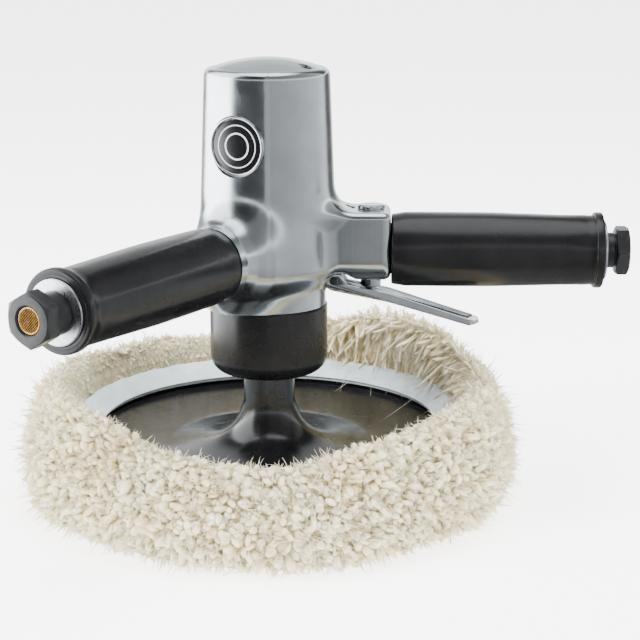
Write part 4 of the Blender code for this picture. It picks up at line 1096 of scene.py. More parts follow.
    def build(self) -> None:
        """Model the casting: rough solids, one skin, then the machined cuts."""
        piece = self.rough_out()
        Bench.apply(piece, "REMESH", mode="VOXEL", voxel_size=0.0012)
        self.shrink(piece, 3)
        Bench.apply(piece, "REMESH", mode="VOXEL", voxel_size=self.voxel)
        self.shrink(piece, 4)
        self.machine(piece)
        Bench.smooth(piece, 30.0)
        finished(piece, BRUSHED_CASTING, Body.HOUSING, "cast_aluminium", "motor_housing")


@dataclass
class OilPlug:
    """The socket plug sunk in the dome."""

    centre: tuple[float, float] = (0.01887, -0.01225)
    radius: float = 0.0030
    top: float = 0.2136
    length: float = 0.0070
    socket: float = 0.0016
    socket_depth: float = 0.0025
    countersink: float = 0.0008
    mouth: float = 0.0022

    def frame(self) -> Matrix:
        """Return the plug's place."""
        return Matrix.Translation((*self.centre, 0.0))

    def pocket(self) -> Piece:
        """Return the cutter of the plug's hole, with its countersink.

        Returns:
            The cutter.
        """
        wide, floor, open_end = self.radius + GAP, self.top - self.length - GAP, self.top + 0.02
        sink = self.countersink
        outline = [(0.0, floor), (wide, floor), (wide, self.top + sink)]
        outline += [(wide + sink, self.top + self.mouth), (wide + sink, open_end), (0.0, open_end)]
        return Bench.place(Bench.spin("plug_pocket", outline, 48), self.frame())

    def build(self) -> None:
        """Model the plug with its hexagon socket."""
        plug = Bench.spin("oil_plug_fine", rod(self.radius, self.top - self.length, self.top, 0.0003), 48)
        Bench.clear()
        depth = 0.006
        middle = self.top - self.socket_depth + depth / 2.0
        bpy.ops.mesh.primitive_cylinder_add(vertices=6, radius=self.socket, depth=depth,
                                            location=(0.0, 0.0, middle))
        Bench.combine(plug, Bench.settle(bpy.context.object))
        Bench.smooth(Bench.place(plug, self.frame()))
        finished(plug, BLACK_OXIDE, Body.HOUSING, "black_oxide", "oil_plug")


@dataclass
class Badge:
    """The round badge in its bright ring, on a flat seat."""

    turn: float = -115.5
    height: float = 0.1780
    radius: float = 0.0144
    ring: float = 0.0015
    seat_distance: float = 0.0287
    thickness: float = 0.0014

    def frame(self) -> Matrix:
        """Return the frame whose Z axis points out through the badge."""
        return Handle.frame_at(self.turn, self.height)

    def seat(self) -> Piece:
        """Return the cutter of the flat seat."""
        outline = rod(self.radius + GAP, self.seat_distance, self.seat_distance + 0.012)
        return Bench.place(Bench.spin("badge_seat", outline, 96), self.frame())

    def build(self) -> None:
        """Model the rolled ring and the enamelled disc."""
        low = self.seat_distance + GAP
        high = low + self.thickness
        inner = self.radius - self.ring
        roll = self.ring / 2.0
        outline = [(inner, low), (self.radius, low)]
        outline += arc((inner + roll, high - roll), roll, 0.0, 180.0, 8)
        rim = Bench.place(Bench.spin("badge_rim_fine", outline, 96), self.frame())
        finished(Bench.smooth(rim), BRIGHT_PLATE, Body.HOUSING, "plated_steel", "badge_rim")
        face = low + self.thickness * 0.6
        disc = Bench.spin("badge_disc_fine", rod(inner - GAP * 0.5, low, face, 0.0002), 96)
        Bench.place(disc, self.frame())
        out = math.radians(self.turn)
        centre = (low * math.cos(out), low * math.sin(out), self.height)
        paint = BadgeFinish("badge_enamel", tone("0b0b0c"), tone("aeb4b8"), gloss=(0.12, 0.2),
                            grain=(800.0,) * 3, relief=0.02, depth=0.00002, coat=0.5,
                            centre=centre, radius=inner)
        finished(Bench.smooth(disc), paint, Body.HOUSING, "badge_enamel", "badge_disc")


@dataclass
class BearingCollar:
    """The black collar screwed into the housing, over the spindle bearings."""

    radius: float = 0.0293
    bottom: float = 0.0620
    top: float = 0.0964
    fillet: float = 0.0085
    spigot: float = 0.0247
    spigot_top: float = 0.1017
    seal_hole: float = 0.0122
    bearing_hole: float = 0.0213
    bearing_floor: float = 0.0787
    seal_seat: float = 0.0178
    seal_floor: float = 0.0665

    def build(self) -> None:
        """Model the collar with its rounded foot and a small top chamfer."""
        outline = [(self.seal_hole, self.bottom + 0.0005), (self.seal_hole + 0.0005, self.bottom)]
        outline += arc((self.radius - self.fillet, self.bottom + self.fillet), self.fillet, -90.0, 0.0, 16)
        outline += [(self.radius, self.top - 0.0005), (self.radius - 0.0005, self.top)]
        outline += [(self.spigot, self.top), (self.spigot, self.spigot_top)]
        outline += [(self.bearing_hole, self.spigot_top), (self.bearing_hole, self.bearing_floor)]
        outline += [(self.seal_seat, self.bearing_floor), (self.seal_seat, self.seal_floor)]
        outline += [(self.seal_hole, self.seal_floor)]
        collar = Bench.smooth(Bench.spin("bearing_collar_fine", outline, 128))
        finished(collar, SATIN_BLACK, Body.HOUSING, "black_enamel", "bearing_collar")


@dataclass
class Handle:
    """One side handle: tube, rubber grip and hexagon bushing."""

    side: str
    turn: float
    start: float
    end: float
    neck: float
    hex_flats: float
    hex_length: float
    bore: float
    upright: Upright
    height: float = HANDLE_HEIGHT
    reach: float = 0.1768
    grip_radius: float = GRIP_RADIUS
    grip_wall: float = 0.0034
    tube_radius: float = 0.0145
    tube_bore: float = 0.0080
    tube_proud: float = 0.0012
    stub_length: float = STUB_LENGTH
    stub_thread: float = STUB_THREAD
    ridges: int = 8
    ridge_height: float = 0.00032
    flange_width: float = 0.0046
    lead: float = 0.0

    @staticmethod
    def frame_at(turn: float, height: float) -> Matrix:
        """Return a frame at a height whose Z axis points outwards.

        Args:
            turn: Direction round the spindle, in degrees.
            height: Height of the frame's origin.

        Returns:
            The frame; its X axis points down.
        """
        lift = Matrix.Translation((0.0, 0.0, height))
        return lift @ Matrix.Rotation(math.radians(turn), 4, "Z") @ Matrix.Rotation(QUARTER_TURN, 4, "Y")

    def frame(self) -> Matrix:
        """Return the handle's own frame."""
        return Handle.frame_at(self.turn, self.height)

    def grip_outline(self) -> Outline:
        """Return the sleeve's outline: a soft barrel with a rolled flange.

        Returns:
            A closed outline along the handle.
        """
        inner = self.grip_radius - self.grip_wall
        outer = self.grip_radius
        first = self.start - self.lead
        flange_start = self.end - self.flange_width - 0.0012
        outline = [(inner, first)] + arc((outer - 0.0018, first + 0.0010), 0.0010, -90.0, 0.0, 4)
        spans = 36
        for step in range(1, spans):
            share = step / spans
            along = first + 0.0010 + (flange_start - first - 0.0018) * share
            swell = 0.0002 * math.sin(math.pi * min(share * 1.6, 1.0))
            swell -= 0.0010 * float(ease(share, 0.45, 1.0))
            tuck = 0.0008 * float(ease(share, 0.0, 0.06)) - 0.0008
            outline.append((outer + swell + tuck, along))
        roll = 0.0010
        high = outer + 0.0004
        outline += [(outer - 0.0012, flange_start)]
        outline += arc((high - roll, flange_start + 0.0012 + roll), roll, -90.0, 0.0, 4)
        outline += arc((high - roll, self.end - roll - 0.0004), roll, 0.0, 90.0, 4)
        outline += [(outer - 0.0018, self.end - 0.0004), (outer - 0.0021, self.end), (inner, self.end)]
        return outline

    def grip(self) -> None:
        """Model the rubber grip with its soft lengthwise ridges."""
        sleeve = Bench.spin(f"{self.side}_grip_fine", self.grip_outline(), 128)
        place = Bench.places(sleeve)
        off = np.hypot(place[:, 0], place[:, 1])
        turn = np.arctan2(place[:, 1], place[:, 0])
        along = place[:, 2]
        length = self.end - self.start
        fade = ease(along, self.start + 0.004, self.start + 0.030)
        fade = fade * (1.0 - ease(along, self.end - 0.022, self.end - 0.0075))
        wave = np.abs(np.cos(turn * self.ridges / 2.0 + 0.35 * (along - self.start) / length))
        outer_skin = off > self.grip_radius - 0.0016
        lift = np.where(outer_skin, self.ridge_height * fade * (0.45 - wave), 0.0)
        scale = (off + lift) / off
        place[:, :2] *= scale[:, None]
        Bench.move_places(sleeve, place)
        Bench.place(Bench.smooth(sleeve, 50.0), self.frame())
        finished(sleeve, GRIP_RUBBER, Body.HOUSING, "grip_rubber", f"{self.side}_grip")

    def tube(self) -> None:
        """Model the aluminium tube, whose turned end shows past the grip."""
        end = self.end + self.tube_proud
        shoulder = self.start + self.stub_length + GAP
        outer = self.tube_radius
        outline = [(self.tube_bore, self.start - 0.001), (self.stub_thread - GAP, self.start - 0.001)]
        outline += [(self.stub_thread - GAP, shoulder), (outer, shoulder)]
        outline += arc((outer - 0.0007, end - 0.0007), 0.0007, 0.0, 90.0, 5)
        outline += [(self.tube_bore, end)]
        tube = Bench.place(Bench.smooth(Bench.spin(f"{self.side}_tube_fine", outline, 96)), self.frame())
        finished(tube, TURNED_ALUMINIUM, Body.HOUSING, "cast_aluminium", f"{self.side}_tube")

    def bushing(self) -> None:
        """Model the bushing: threaded body, round neck and a chamfered hexagon."""
        face = self.end + self.tube_proud + GAP
        seat = self.reach - self.hex_length
        low = face - 0.0140
        outline = [(0.0, low), (self.tube_bore - GAP, low), (self.tube_bore - GAP, face), (self.neck, face)]
        outline += [(self.neck, seat - 0.0010), (self.neck - 0.0007, seat - 0.0006)]
        outline += [(self.neck - 0.0007, seat + 0.002), (0.0, seat + 0.002)]
        body = Bench.spin(f"{self.side}_bushing_fine", outline, 72)
        Bench.clear()
        corner = self.hex_flats / math.sqrt(3.0)
        bpy.ops.mesh.primitive_cylinder_add(vertices=6, radius=corner, depth=self.hex_length,
                                            location=(0.0, 0.0, self.reach - self.hex_length / 2.0))
        head = Bench.settle(bpy.context.object)
        turn = math.radians(90.0 + self.upright.value)
        Bench.place(head, Matrix.Rotation(turn, 4, "Z"))
        flat = self.hex_flats / 2.0
        chamfer = corner - flat
        cone = [(0.0, seat), (flat * 0.985, seat), (corner, seat + chamfer * 0.62)]
        cone += [(corner, self.reach - chamfer * 0.62), (flat * 0.97, self.reach), (0.0, self.reach)]
        Bench.combine(head, Bench.spin("hex_chamfer", cone, 96), "INTERSECT", "MANIFOLD")
        Bench.round_edges(head, 0.00025, 2, 20.0)
        Bench.combine(body, head, "UNION", "MANIFOLD")
        chamfer, past = 0.0006, 0.005
        lip = [(0.0, low - past), (self.bore, low - past), (self.bore, self.reach - chamfer)]
        lip += [(self.bore + chamfer, self.reach), (self.bore + chamfer, self.reach + past)]
        lip += [(0.0, self.reach + past)]
        Bench.combine(body, Bench.spin("bushing_bore", lip, 64), solver="MANIFOLD")
        Bench.place(Bench.smooth(body, 28.0), self.frame())
        finished(body, BLACK_OXIDE, Body.HOUSING, "black_oxide", f"{self.side}_bushing")

    def build(self) -> None:
        """Model the whole handle."""
        self.tube()
        self.grip()
        self.bushing()


@dataclass
class ExhaustScreen:
    """The brass gauze in the exhaust bushing, held by a thin ring."""

    radius: float = 0.0059
    top: float = 0.1756
    thickness: float = 0.0008
    cells: int = 14
    wire: float = 0.00042
    lift: float = 0.0005

    def build(self) -> None:
        """Model the gauze from a grid turned into wires, with its ring."""
        Bench.clear()
        bpy.ops.mesh.primitive_grid_add(x_subdivisions=self.cells, y_subdivisions=self.cells,
                                        size=2.1 * self.radius)
        gauze = Bench.name(bpy.context.object, "gauze")
        Bench.edit(gauze)
        bpy.ops.transform.rotate(value=math.radians(45.0), orient_axis="Z", center_override=(0.0, 0.0, 0.0))
        bpy.ops.mesh.select_all(action="DESELECT")
        bpy.ops.object.mode_set(mode="OBJECT")
        for vertex in gauze.data.vertices:
            vertex.select = vertex.co.to_2d().length > self.radius - 0.0003
        bpy.ops.object.mode_set(mode="EDIT")
        bpy.ops.mesh.delete(type="VERT")
        Bench.clear()
        Bench.apply(gauze, "WIREFRAME", thickness=self.wire, use_even_offset=False, use_boundary=True)
        Bench.place(gauze, Matrix.Translation((0.0, 0.0, self.top + self.lift - self.thickness / 2.0)))
        low = self.top - self.thickness
        high = self.top + self.lift
        band = [(self.radius - 0.0009, low), (self.radius, low)]
        band += arc((self.radius - 0.00045, high - 0.00045), 0.00045, 0.0, 180.0, 6)
        ring = Bench.spin("gauze_ring", band, 64)
        screen = Bench.join([gauze, ring], "exhaust_screen_fine")
        Bench.place(Bench.smooth(screen, 40.0), Handle.frame_at(EXHAUST_TURN, HANDLE_HEIGHT))
        finished(screen, BRASS, Body.HOUSING, "brass", "exhaust_screen")


@dataclass
class ThrottleValve:
    """What shows of the throttle valve: cap, guide, plunger and regulator screw."""

    x: float = VALVE_X
    block_top: float = BLOCK_TOP
    block_bottom: float = BLOCK_BOTTOM
    cap_radius: float = 0.0067
    cap_proud: float = 0.0020
    cap_thread: float = 0.0059
    cap_depth: float = 0.0055
    notch_depth: float = 0.0011
    notch_half_width: float = 0.0008
    notches: int = 6
    guide_radius: float = 0.0050
    guide_drop: float = 0.0041
    guide_shank: float = 0.0042
    guide_depth: float = 0.0042
    plunger_radius: float = 0.0025
    plunger_tip: float = 0.1020
    head_radius: float = 0.0043
    regulator_x: float = REGULATOR_X
    regulator_radius: float = 0.0022
    slot_half_width: float = 0.0004
    slot_depth: float = 0.0010
    slot_turn: float = 35.0
    lift: float = 0.0032

    def frame(self) -> Matrix:
        """Return the valve's place."""
        return Matrix.Translation((self.x, 0.0, 0.0))

    def cap(self) -> None:
        """Model the notched cap with its raised bright face."""
        top = self.block_top + self.cap_proud
        seat = self.block_top + GAP
        thread = self.cap_thread
        rim = self.cap_radius
        foot = self.block_top - self.cap_depth
        outline = [(0.0, foot), (thread, foot), (thread, seat), (rim, seat)]
        outline += arc((rim - 0.0004, top - 0.0006), 0.0004, 0.0, 90.0, 3)
        outline += [(0.0058, top - 0.0002), (0.0056, top - 0.0005), (0.0054, top - 0.0002)]
        outline += arc((0.0051, top - 0.0003), 0.0003, 0.0, 90.0, 3) + [(0.0, top)]
        cap = Bench.spin("valve_cap_fine", outline, 96)
        for number in range(self.notches):
            half, past = self.notch_half_width, 0.002
            notch = Bench.box("notch", Vector((rim - self.notch_depth, -half, self.block_top + 0.0008)),
                              Vector((rim + past, half, top + past)))
            Bench.place(notch, Matrix.Rotation(FULL_TURN * (number + 0.5) / self.notches, 4, "Z"))
            Bench.combine(cap, notch)
        Bench.place(Bench.smooth(cap), self.frame())
        finished(cap, BRIGHT_PLATE, Body.HOUSING, "plated_steel", "valve_cap")

    def guide(self) -> None:
        """Model the guide bushing below the block."""
        low = self.block_bottom - self.guide_drop
        hole = self.plunger_radius + GAP
        outline = [(hole, low + 0.0003), (hole + 0.0003, low)]
        outline += arc((self.guide_radius - 0.0006, low + 0.0006), 0.0006, -90.0, 0.0, 4)
        shank, inside = self.guide_shank, self.block_bottom + self.guide_depth
        outline += [(self.guide_radius, self.block_bottom - GAP), (shank, self.block_bottom - GAP)]
        outline += [(shank, inside), (hole, inside)]
        guide = Bench.place(Bench.smooth(Bench.spin("valve_guide_fine", outline, 64)), self.frame())
        finished(guide, BRIGHT_PLATE, Body.HOUSING, "plated_steel", "valve_guide")

    def plunger(self) -> None:
        """Model the plunger that the lever lifts."""
        tip = self.plunger_tip
        head = self.block_bottom + 0.0168
        outline = [(0.0, tip), (0.0008, tip)] + arc((0.0011, tip + 0.0014), 0.0014, -75.0, 0.0, 5)
        head_top = head + 0.0035
        outline += [(self.plunger_radius, head), (self.head_radius, head)]
        outline += [(self.head_radius, head_top), (0.0, head_top)]
        plunger = Bench.place(Bench.smooth(Bench.spin("throttle_plunger_fine", outline, 48)), self.frame())
        finished(plunger, BRIGHT_PLATE, Body.PLUNGER, "plated_steel", "throttle_plunger")

    def regulator(self) -> None:
        """Model the slotted regulator screw."""
        top = self.block_top + 0.0008
        screw = Bench.spin("regulator_screw_fine", rod(self.regulator_radius, 0.1210, top, 0.0003), 48)
        half, past = self.slot_half_width, 0.004
        slot = Bench.box("slot", Vector((-past, -half, top - self.slot_depth)),
                         Vector((past, half, top + 0.002)))
        Bench.place(slot, Matrix.Rotation(math.radians(self.slot_turn), 4, "Z"))
        Bench.combine(screw, slot)
        Bench.place(Bench.smooth(screw), Matrix.Translation((self.regulator_x, 0.0, 0.0)))
        finished(screw, BLACK_OXIDE, Body.REGULATOR, "plated_steel", "regulator_screw")

    def spring(self, nodes: dict[str, bpy.types.Object]) -> None:
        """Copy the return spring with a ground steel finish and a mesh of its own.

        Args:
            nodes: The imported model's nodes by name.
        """
        coil = Bench.copy_node(nodes["valve_spring"], "valve_spring_fine")
        finished(Bench.smooth(coil, 50.0), GROUND_STEEL, Body.HOUSING, "steel", "valve_spring")
        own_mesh(coil)

    def build(self, nodes: dict[str, bpy.types.Object]) -> None:
        """Model the valve's parts.

        Args:
            nodes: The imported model's nodes by name.
        """
        self.cap()
        self.guide()
        self.plunger()
        self.regulator()
        self.spring(nodes)


@dataclass
class Lever:
    """The pressed steel throttle lever and the pin it swings on."""

    pivot: tuple[float, float] = LEVER_PIVOT
    pin_radius: float = 0.0019
    pin_reach: float = 0.0085

    def build(self, nodes: dict[str, bpy.types.Object]) -> None:
        """Soften the pressed lever's edges and turn the pin.

        Args:
            nodes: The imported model's nodes by name.
        """
        lever = Bench.copy_node(nodes["throttle_lever"], "throttle_lever_fine")
        Bench.round_edges(lever, 0.00035, 3, 24.0)
        finished(Bench.smooth(lever, 40.0), BRIGHT_PLATE, Body.LEVER, "plated_steel", "throttle_lever")
        outline = rod(self.pin_radius, -self.pin_reach, self.pin_reach, 0.0004)
        pin = Bench.spin("lever_pin_fine", outline, 48)
        Bench.smooth(Bench.place(pin, pin_frame(self.pivot)))
        finished(pin, BLACK_OXIDE, Body.HOUSING, "steel", "lever_pin")


@dataclass
class BackingPad:
    """The rubber pad: thin dished rim, trumpet hub and neck."""

    radius: float = PAD_RADIUS
    rim_height: float = PAD_RIM_HEIGHT
    thickness: float = 0.0052
    dish_radius: float = 0.0520
    dish_drop: float = 0.0080
    hub_rise: float = 0.0225
    under: float = 0.0185
    neck_radius: float = 0.0128
    neck_top: float = 0.0612
    bore: float = 0.0109
    bore_floor: float = 0.0235

    def top(self, radius: float) -> float:
        """Return the upper face's height outside the hub."""
        share = max(0.0, (radius - self.dish_radius) / (self.radius - self.dish_radius))
        return self.rim_height - self.dish_drop * (1.0 - share * share * 0.6 - share * 0.4)

    def build(self) -> None:
        """Model the pad as one turned rubber piece."""
        edge = 0.0015
        outline = [(0.0, self.under), (self.dish_radius, self.under)]
        for step in range(1, 8):
            radius = self.dish_radius + (self.radius - edge - self.dish_radius) * step / 7.0
            low = max(self.top(radius) - self.thickness, self.under + 0.0002)
            outline.append((radius, low if step > 2 else self.under + 0.0002 * step))
        outline += arc((self.radius - edge, self.rim_height - self.thickness + edge), edge, -60.0, 0.0, 4)
        outline += arc((self.radius - 0.0010, self.rim_height - 0.0013), 0.0010, 0.0, 90.0, 4)
        for step in range(1, 10):
            radius = self.radius - 0.0010 + (self.dish_radius + 0.0010 - self.radius) * step / 9.0
            outline.append((radius, self.top(radius) - 0.0003 * (1.0 - step / 9.0)))
        spans = 28
        for step in range(1, spans + 1):
            radius = self.dish_radius + (self.neck_radius - self.dish_radius) * step / spans
            flare = (self.neck_radius / radius) ** 2.0
            base = (self.neck_radius / self.dish_radius) ** 2.0
            outline.append((radius, self.top(0.0) + self.hub_rise * (flare - base) / (1.0 - base)))
        outline += [(self.neck_radius, self.neck_top - 0.0006), (self.neck_radius - 0.0006, self.neck_top)]
        outline += [(self.bore, self.neck_top), (self.bore, self.bore_floor), (0.0, self.bore_floor)]
        pad = Bench.smooth(Bench.spin("backing_pad_fine", outline, 160), 40.0)
        finished(pad, GLOSS_BLACK, Body.SPINDLE, "pad_rubber", "backing_pad")


@dataclass(frozen=True)
class LockStyle:
    """How one kind of lock looks and how many there are."""

    rows: int
    in_row: int
    length: tuple[float, float]
    width: tuple[float, float]
    levels: tuple[float, ...]
    swell: tuple[float, ...]
    sides: int
    stray: float
    curl: float
    sunk: float
    gather: float
    clump_reach: float
    overhang: float
    seed: int


TUFTS = LockStyle(
    rows=40, in_row=210, length=(0.0038, 0.0060), width=(0.0014, 0.0025),
    levels=(0.0, 0.45, 0.80, 0.95, 1.0), swell=(0.80, 1.0, 0.88, 0.52, 0.0),
    sides=6, stray=0.36, curl=0.60, sunk=0.0008, gather=0.28, clump_reach=0.0085, overhang=1.4, seed=11,
)
STRANDS = LockStyle(
    rows=62, in_row=300, length=(0.0048, 0.0074), width=(0.00022, 0.00042),
    levels=(0.0, 0.3, 0.6, 0.85, 1.0), swell=(1.0, 1.0, 0.85, 0.55, 0.0),
    sides=3, stray=0.5, curl=1.0, sunk=-0.0004, gather=0.3, clump_reach=0.0085, overhang=1.3, seed=12,
)


@dataclass
class Bonnet:
    """The lambswool bonnet: padded skin, thousands of locks, cloth hem and drawstring."""

    pad_radius: float = PAD_RADIUS
    rim_height: float = PAD_RIM_HEIGHT
    under: float = 0.0182
    skin_radius: float = 0.1165
    tuft_allowance: float = 0.0012
    hem_width: float = 0.0130
    hem_thickness: float = 0.0030
    hem_slope: float = 38.0
    drape_turn: float = 42.0
    drape_width: float = 50.0
    crest_share: float = 0.78
    front_crest: float = 0.0446
    back_rise: float = 0.0075
    swells: tuple[tuple[float, float, float], ...] = (
        (46.0, 31.0, 0.0180), (138.0, 26.0, 0.0035), (180.0, 26.0, 0.0080), (-146.0, 28.0, 0.0110),
        (-30.0, 32.0, 0.0110), (-112.0, 12.0, 0.0020), (-66.0, 12.0, 0.0015),
    )
    knots: tuple[float, ...] = (0.0, 0.10, 0.24, 0.38, 0.52, 0.66, 0.80, 0.92, 1.0)
    insets: tuple[float, ...] = (0.0190, 0.0105, 0.0025, 0.0, 0.0030, 0.0080, 0.0125)
    rises: tuple[tuple[float, float], ...] = (
        (0.0, 0.0), (0.0008, 0.0), (0.0075, 0.0), (0.0, 0.40), (0.0, 0.64), (0.0, 0.88),
        (0.0, 1.0), (0.0, 0.93),
    )
    clumps: int = 1700
    clump_seed: int = 5

    def hem_point(self, along: float, across: float) -> tuple[float, float]:
        """Return a point of the hem's section, along its slope and across it.

        Args:
            along: Distance up the slope from the pad.
            across: Distance into the hem's thickness.

        Returns:
            Radius and height.
        """
        slope = math.radians(self.hem_slope)
        run = (math.cos(slope), math.sin(slope))
        start = (self.pad_radius - 0.0025, self.rim_height + GAP)
        return (start[0] + along * run[0] - across * run[1], start[1] + along * run[1] + across * run[0])

    def crest(self, turn: np.ndarray) -> np.ndarray:
        """Return the skin's highest height round the bonnet.

        Args:
            turn: Angles in radians.

        Returns:
            Heights: low at the front and higher behind, with broad swells.
        """
        back = 0.5 + 0.5 * np.sin(turn)
        height = self.front_crest + self.back_rise * back
        for centre, width, rise in self.swells:
            apart = (np.degrees(turn) - centre + 180.0) % 360.0 - 180.0
            height = height + rise * np.exp(-(apart / width) ** 2)
        return height + 0.0009 * np.sin(5.0 * turn + 0.7) + 0.0007 * np.sin(11.0 * turn + 2.0)

    def section(self, share: np.ndarray, turn: np.ndarray) -> tuple[np.ndarray, np.ndarray]:
        """Return the fleece skin's radius and height.

        Args:
            share: Place along the skin, 0 at the floor and 1 at the hem.
            turn: Angles in radians.

        Returns:
            Radii and heights.
        """
        top = self.crest(turn)
        lump = 0.0016 * np.sin(4.0 * turn + 1.3) + 0.0012 * np.sin(9.0 * turn)
        ripple = np.sin(21.0 * share + 3.0 * np.sin(8.0 * turn))
        lump = lump + 0.0011 * np.sin(27.0 * turn + 14.0 * share) * ripple
        outer = self.skin_radius + self.tuft_allowance + lump
        hem_end = self.hem_point(self.hem_width + 2.0 * GAP, 0.0)
        radii = [outer - inset for inset in self.insets]
        radii += [np.full_like(turn, hem_end[0] + 0.0022), np.full_like(turn, hem_end[0])]
        heights = [base + rise * top for base, rise in self.rises]
        heights.append(np.full_like(turn, hem_end[1]))
        knots = np.array(self.knots)
        return self.curve(share, knots, radii), self.curve(share, knots, heights)

    @staticmethod
    def curve(share: np.ndarray, knots: np.ndarray, values: list[np.ndarray]) -> np.ndarray:
        """Pass a smooth curve through values at knots, one curve for each place.

        Args:
            share: Where on its curve each place is.
            knots: Shares that the values belong to.
            values: For each knot, one value for each place.

        Returns:
            One value for each place.
        """
        table = np.array([np.broadcast_to(value, share.shape) for value in values])
        span = np.clip(np.searchsorted(knots, share, side="right") - 1, 0, len(knots) - 2)
        place = np.arange(share.size)
        before = np.maximum(span - 1, 0)
        after = np.minimum(span + 2, len(knots) - 1)
        t = (share - knots[span]) / (knots[span + 1] - knots[span])
        gap = knots[span + 1] - knots[span]
        low, high = table[span, place], table[span + 1, place]
        slope_low = (high - table[before, place]) / (knots[span + 1] - knots[before]) * gap
        slope_high = (table[after, place] - low) / (knots[after] - knots[span]) * gap
        return ((2 * t ** 3 - 3 * t ** 2 + 1) * low + (t ** 3 - 2 * t ** 2 + t) * slope_low
                + (-2 * t ** 3 + 3 * t ** 2) * high + (t ** 3 - t ** 2) * slope_high)

    def skin_point(self, share: np.ndarray, turn: np.ndarray) -> np.ndarray:
        """Return points on the fleece skin."""
        radius, height = self.section(share, turn)
        return np.stack([radius * np.cos(turn), radius * np.sin(turn), height], axis=1)

    def skin(self) -> Piece:
        """Model the closed, padded body that the locks grow from.

        Returns:
            The skin, with an empty UV map.
        """
        steps, spans = 192, 36
        inner = [
            self.hem_point(self.hem_width + GAP, -GAP),
            self.hem_point(0.0035, -GAP),
            (self.pad_radius + GAP, self.rim_height - 0.0010),
            (self.pad_radius + GAP, self.rim_height - 0.0040),
            (self.pad_radius - 0.0012, self.rim_height - 0.0060),
            (0.0705, 0.0213),
            (0.0520, self.under),
        ]
        turns = np.arange(steps) * FULL_TURN / steps
        rings = []
        for row in range(spans + 1):
            rings.append(self.skin_point(np.full(steps, row / spans), turns))
        for radius, height in inner:
            level = np.full(steps, height)
            rings.append(np.stack([radius * np.cos(turns), radius * np.sin(turns), level], axis=1))
        points = np.concatenate(rings + [np.array([[0.0, 0.0, self.under], [0.0, 0.0, 0.0]])])
        faces = []
        for row in range(len(rings) - 1):
            for step in range(steps):
                after = (step + 1) % steps
                faces.append((row * steps + step, row * steps + after,
                              (row + 1) * steps + after, (row + 1) * steps + step))
        last = (len(rings) - 1) * steps
        for step in range(steps):
            after = (step + 1) % steps
            faces.append((last + step, last + after, len(points) - 2))
            faces.append((after, step, len(points) - 1))
        mesh = bpy.data.meshes.new("fleece_skin")
        mesh.from_pydata(points.tolist(), [], faces)
        mesh.uv_layers.new(name="lock")
        return Bench.add_mesh("fleece_skin", mesh)

    def clump_places(self) -> tuple[np.ndarray, np.ndarray]:
        """Return where the clumps stand, as places along the skin and angles round it.

        Returns:
            Shares and angles in radians.
        """
        draw = np.random.default_rng(self.clump_seed)
        share = draw.uniform(0.0, 1.0, self.clumps)
        return share, draw.uniform(0.0, FULL_TURN, self.clumps)

    def clump_tips(self, reach: float) -> np.ndarray:
        """Return the points above the skin that the clumps' locks lean to.

        Args:
            reach: Height of the points above the skin.

        Returns:
            One point for each clump.
        """
        share, turn = self.clump_places()
        return self.skin_point(share, turn) + self.skin_normal(share, turn) * reach

    def nearest_clump(self, place: np.ndarray) -> np.ndarray:
        """Return the number of the clump nearest to each place.

        Args:
            place: An array of points, one in each row.

        Returns:
            One number for each place.
        """
        centres = self.clump_tips(0.0)
        tree = KDTree(len(centres))
        for number, centre in enumerate(centres):
            tree.insert(centre, number)
        tree.balance()
        return np.array([tree.find(point)[1] for point in place])

    def skin_axes(self, share: np.ndarray, turn: np.ndarray) -> tuple[np.ndarray, np.ndarray]:
        """Return unit directions along the skin, towards the hem, and around it.

        Args:
            share: Place along the skin.
            turn: Angles in radians.

        Returns:
            The two directions for each place.
        """
        along = self.skin_point(np.clip(share + 0.01, 0.0, 1.0), turn) - self.skin_point(
            np.clip(share - 0.01, 0.0, 1.0), turn)
        around = self.skin_point(share, turn + 0.01) - self.skin_point(share, turn - 0.01)
        along /= np.linalg.norm(along, axis=1)[:, None]
        around /= np.linalg.norm(around, axis=1)[:, None]
        return along, around

    def skin_normal(self, share: np.ndarray, turn: np.ndarray) -> np.ndarray:
        """Return unit normals of the skin."""
        along, around = self.skin_axes(share, turn)
        return np.cross(around, along)

    def locks(self, style: LockStyle) -> Piece:
        """Grow locks of one style: small tufts or thin strands combed over the skin.

        Args:
            style: How many there are and how they look.

        Returns:
            All of them as one piece.
        """
        draw = np.random.default_rng(style.seed)
        rows = np.repeat(np.arange(style.rows), style.in_row)
        share = 0.03 + 0.965 * (rows + draw.uniform(-0.6, 0.6, rows.size)) / (style.rows - 1)
        share = np.clip(share, 0.02, 0.985)
        turn = (np.tile(np.arange(style.in_row), style.rows) + draw.uniform(-0.6, 0.6, rows.size)
                + 0.5 * (rows % 2)) * FULL_TURN / style.in_row
        root = self.skin_point(share, turn)
        along, around = self.skin_axes(share, turn)
        normal = np.cross(around, along)
        apart = (np.degrees(turn) - self.drape_turn + 180.0) % 360.0 - 180.0
        drape = np.exp(-(apart / self.drape_width) ** 4)
        inner = ease(share, 0.72, 0.88)
        low = 1.0 - ease(share, 0.05, 0.25)
        lean = (0.15 + 1.65 * inner)[:, None] * along
        stray = draw.normal(0.0, style.stray, (rows.size, 3))
        heading = normal * (0.95 - 0.70 * inner)[:, None] + lean + stray
        heading[:, 2] = np.where(low > 0.3, np.abs(heading[:, 2]) * 0.5 + 0.10, heading[:, 2])
        heading /= np.linalg.norm(heading, axis=1)[:, None]
        towards = self.clump_tips(style.clump_reach)[self.nearest_clump(root)] - root
        towards /= np.linalg.norm(towards, axis=1)[:, None]
        gather = (style.gather * (1.0 - 0.8 * inner))[:, None]
        heading = heading * (1.0 - gather) + towards * gather
        heading /= np.linalg.norm(heading, axis=1)[:, None]
        length = draw.uniform(*style.length, rows.size) * (1.0 + style.overhang * inner * drape)
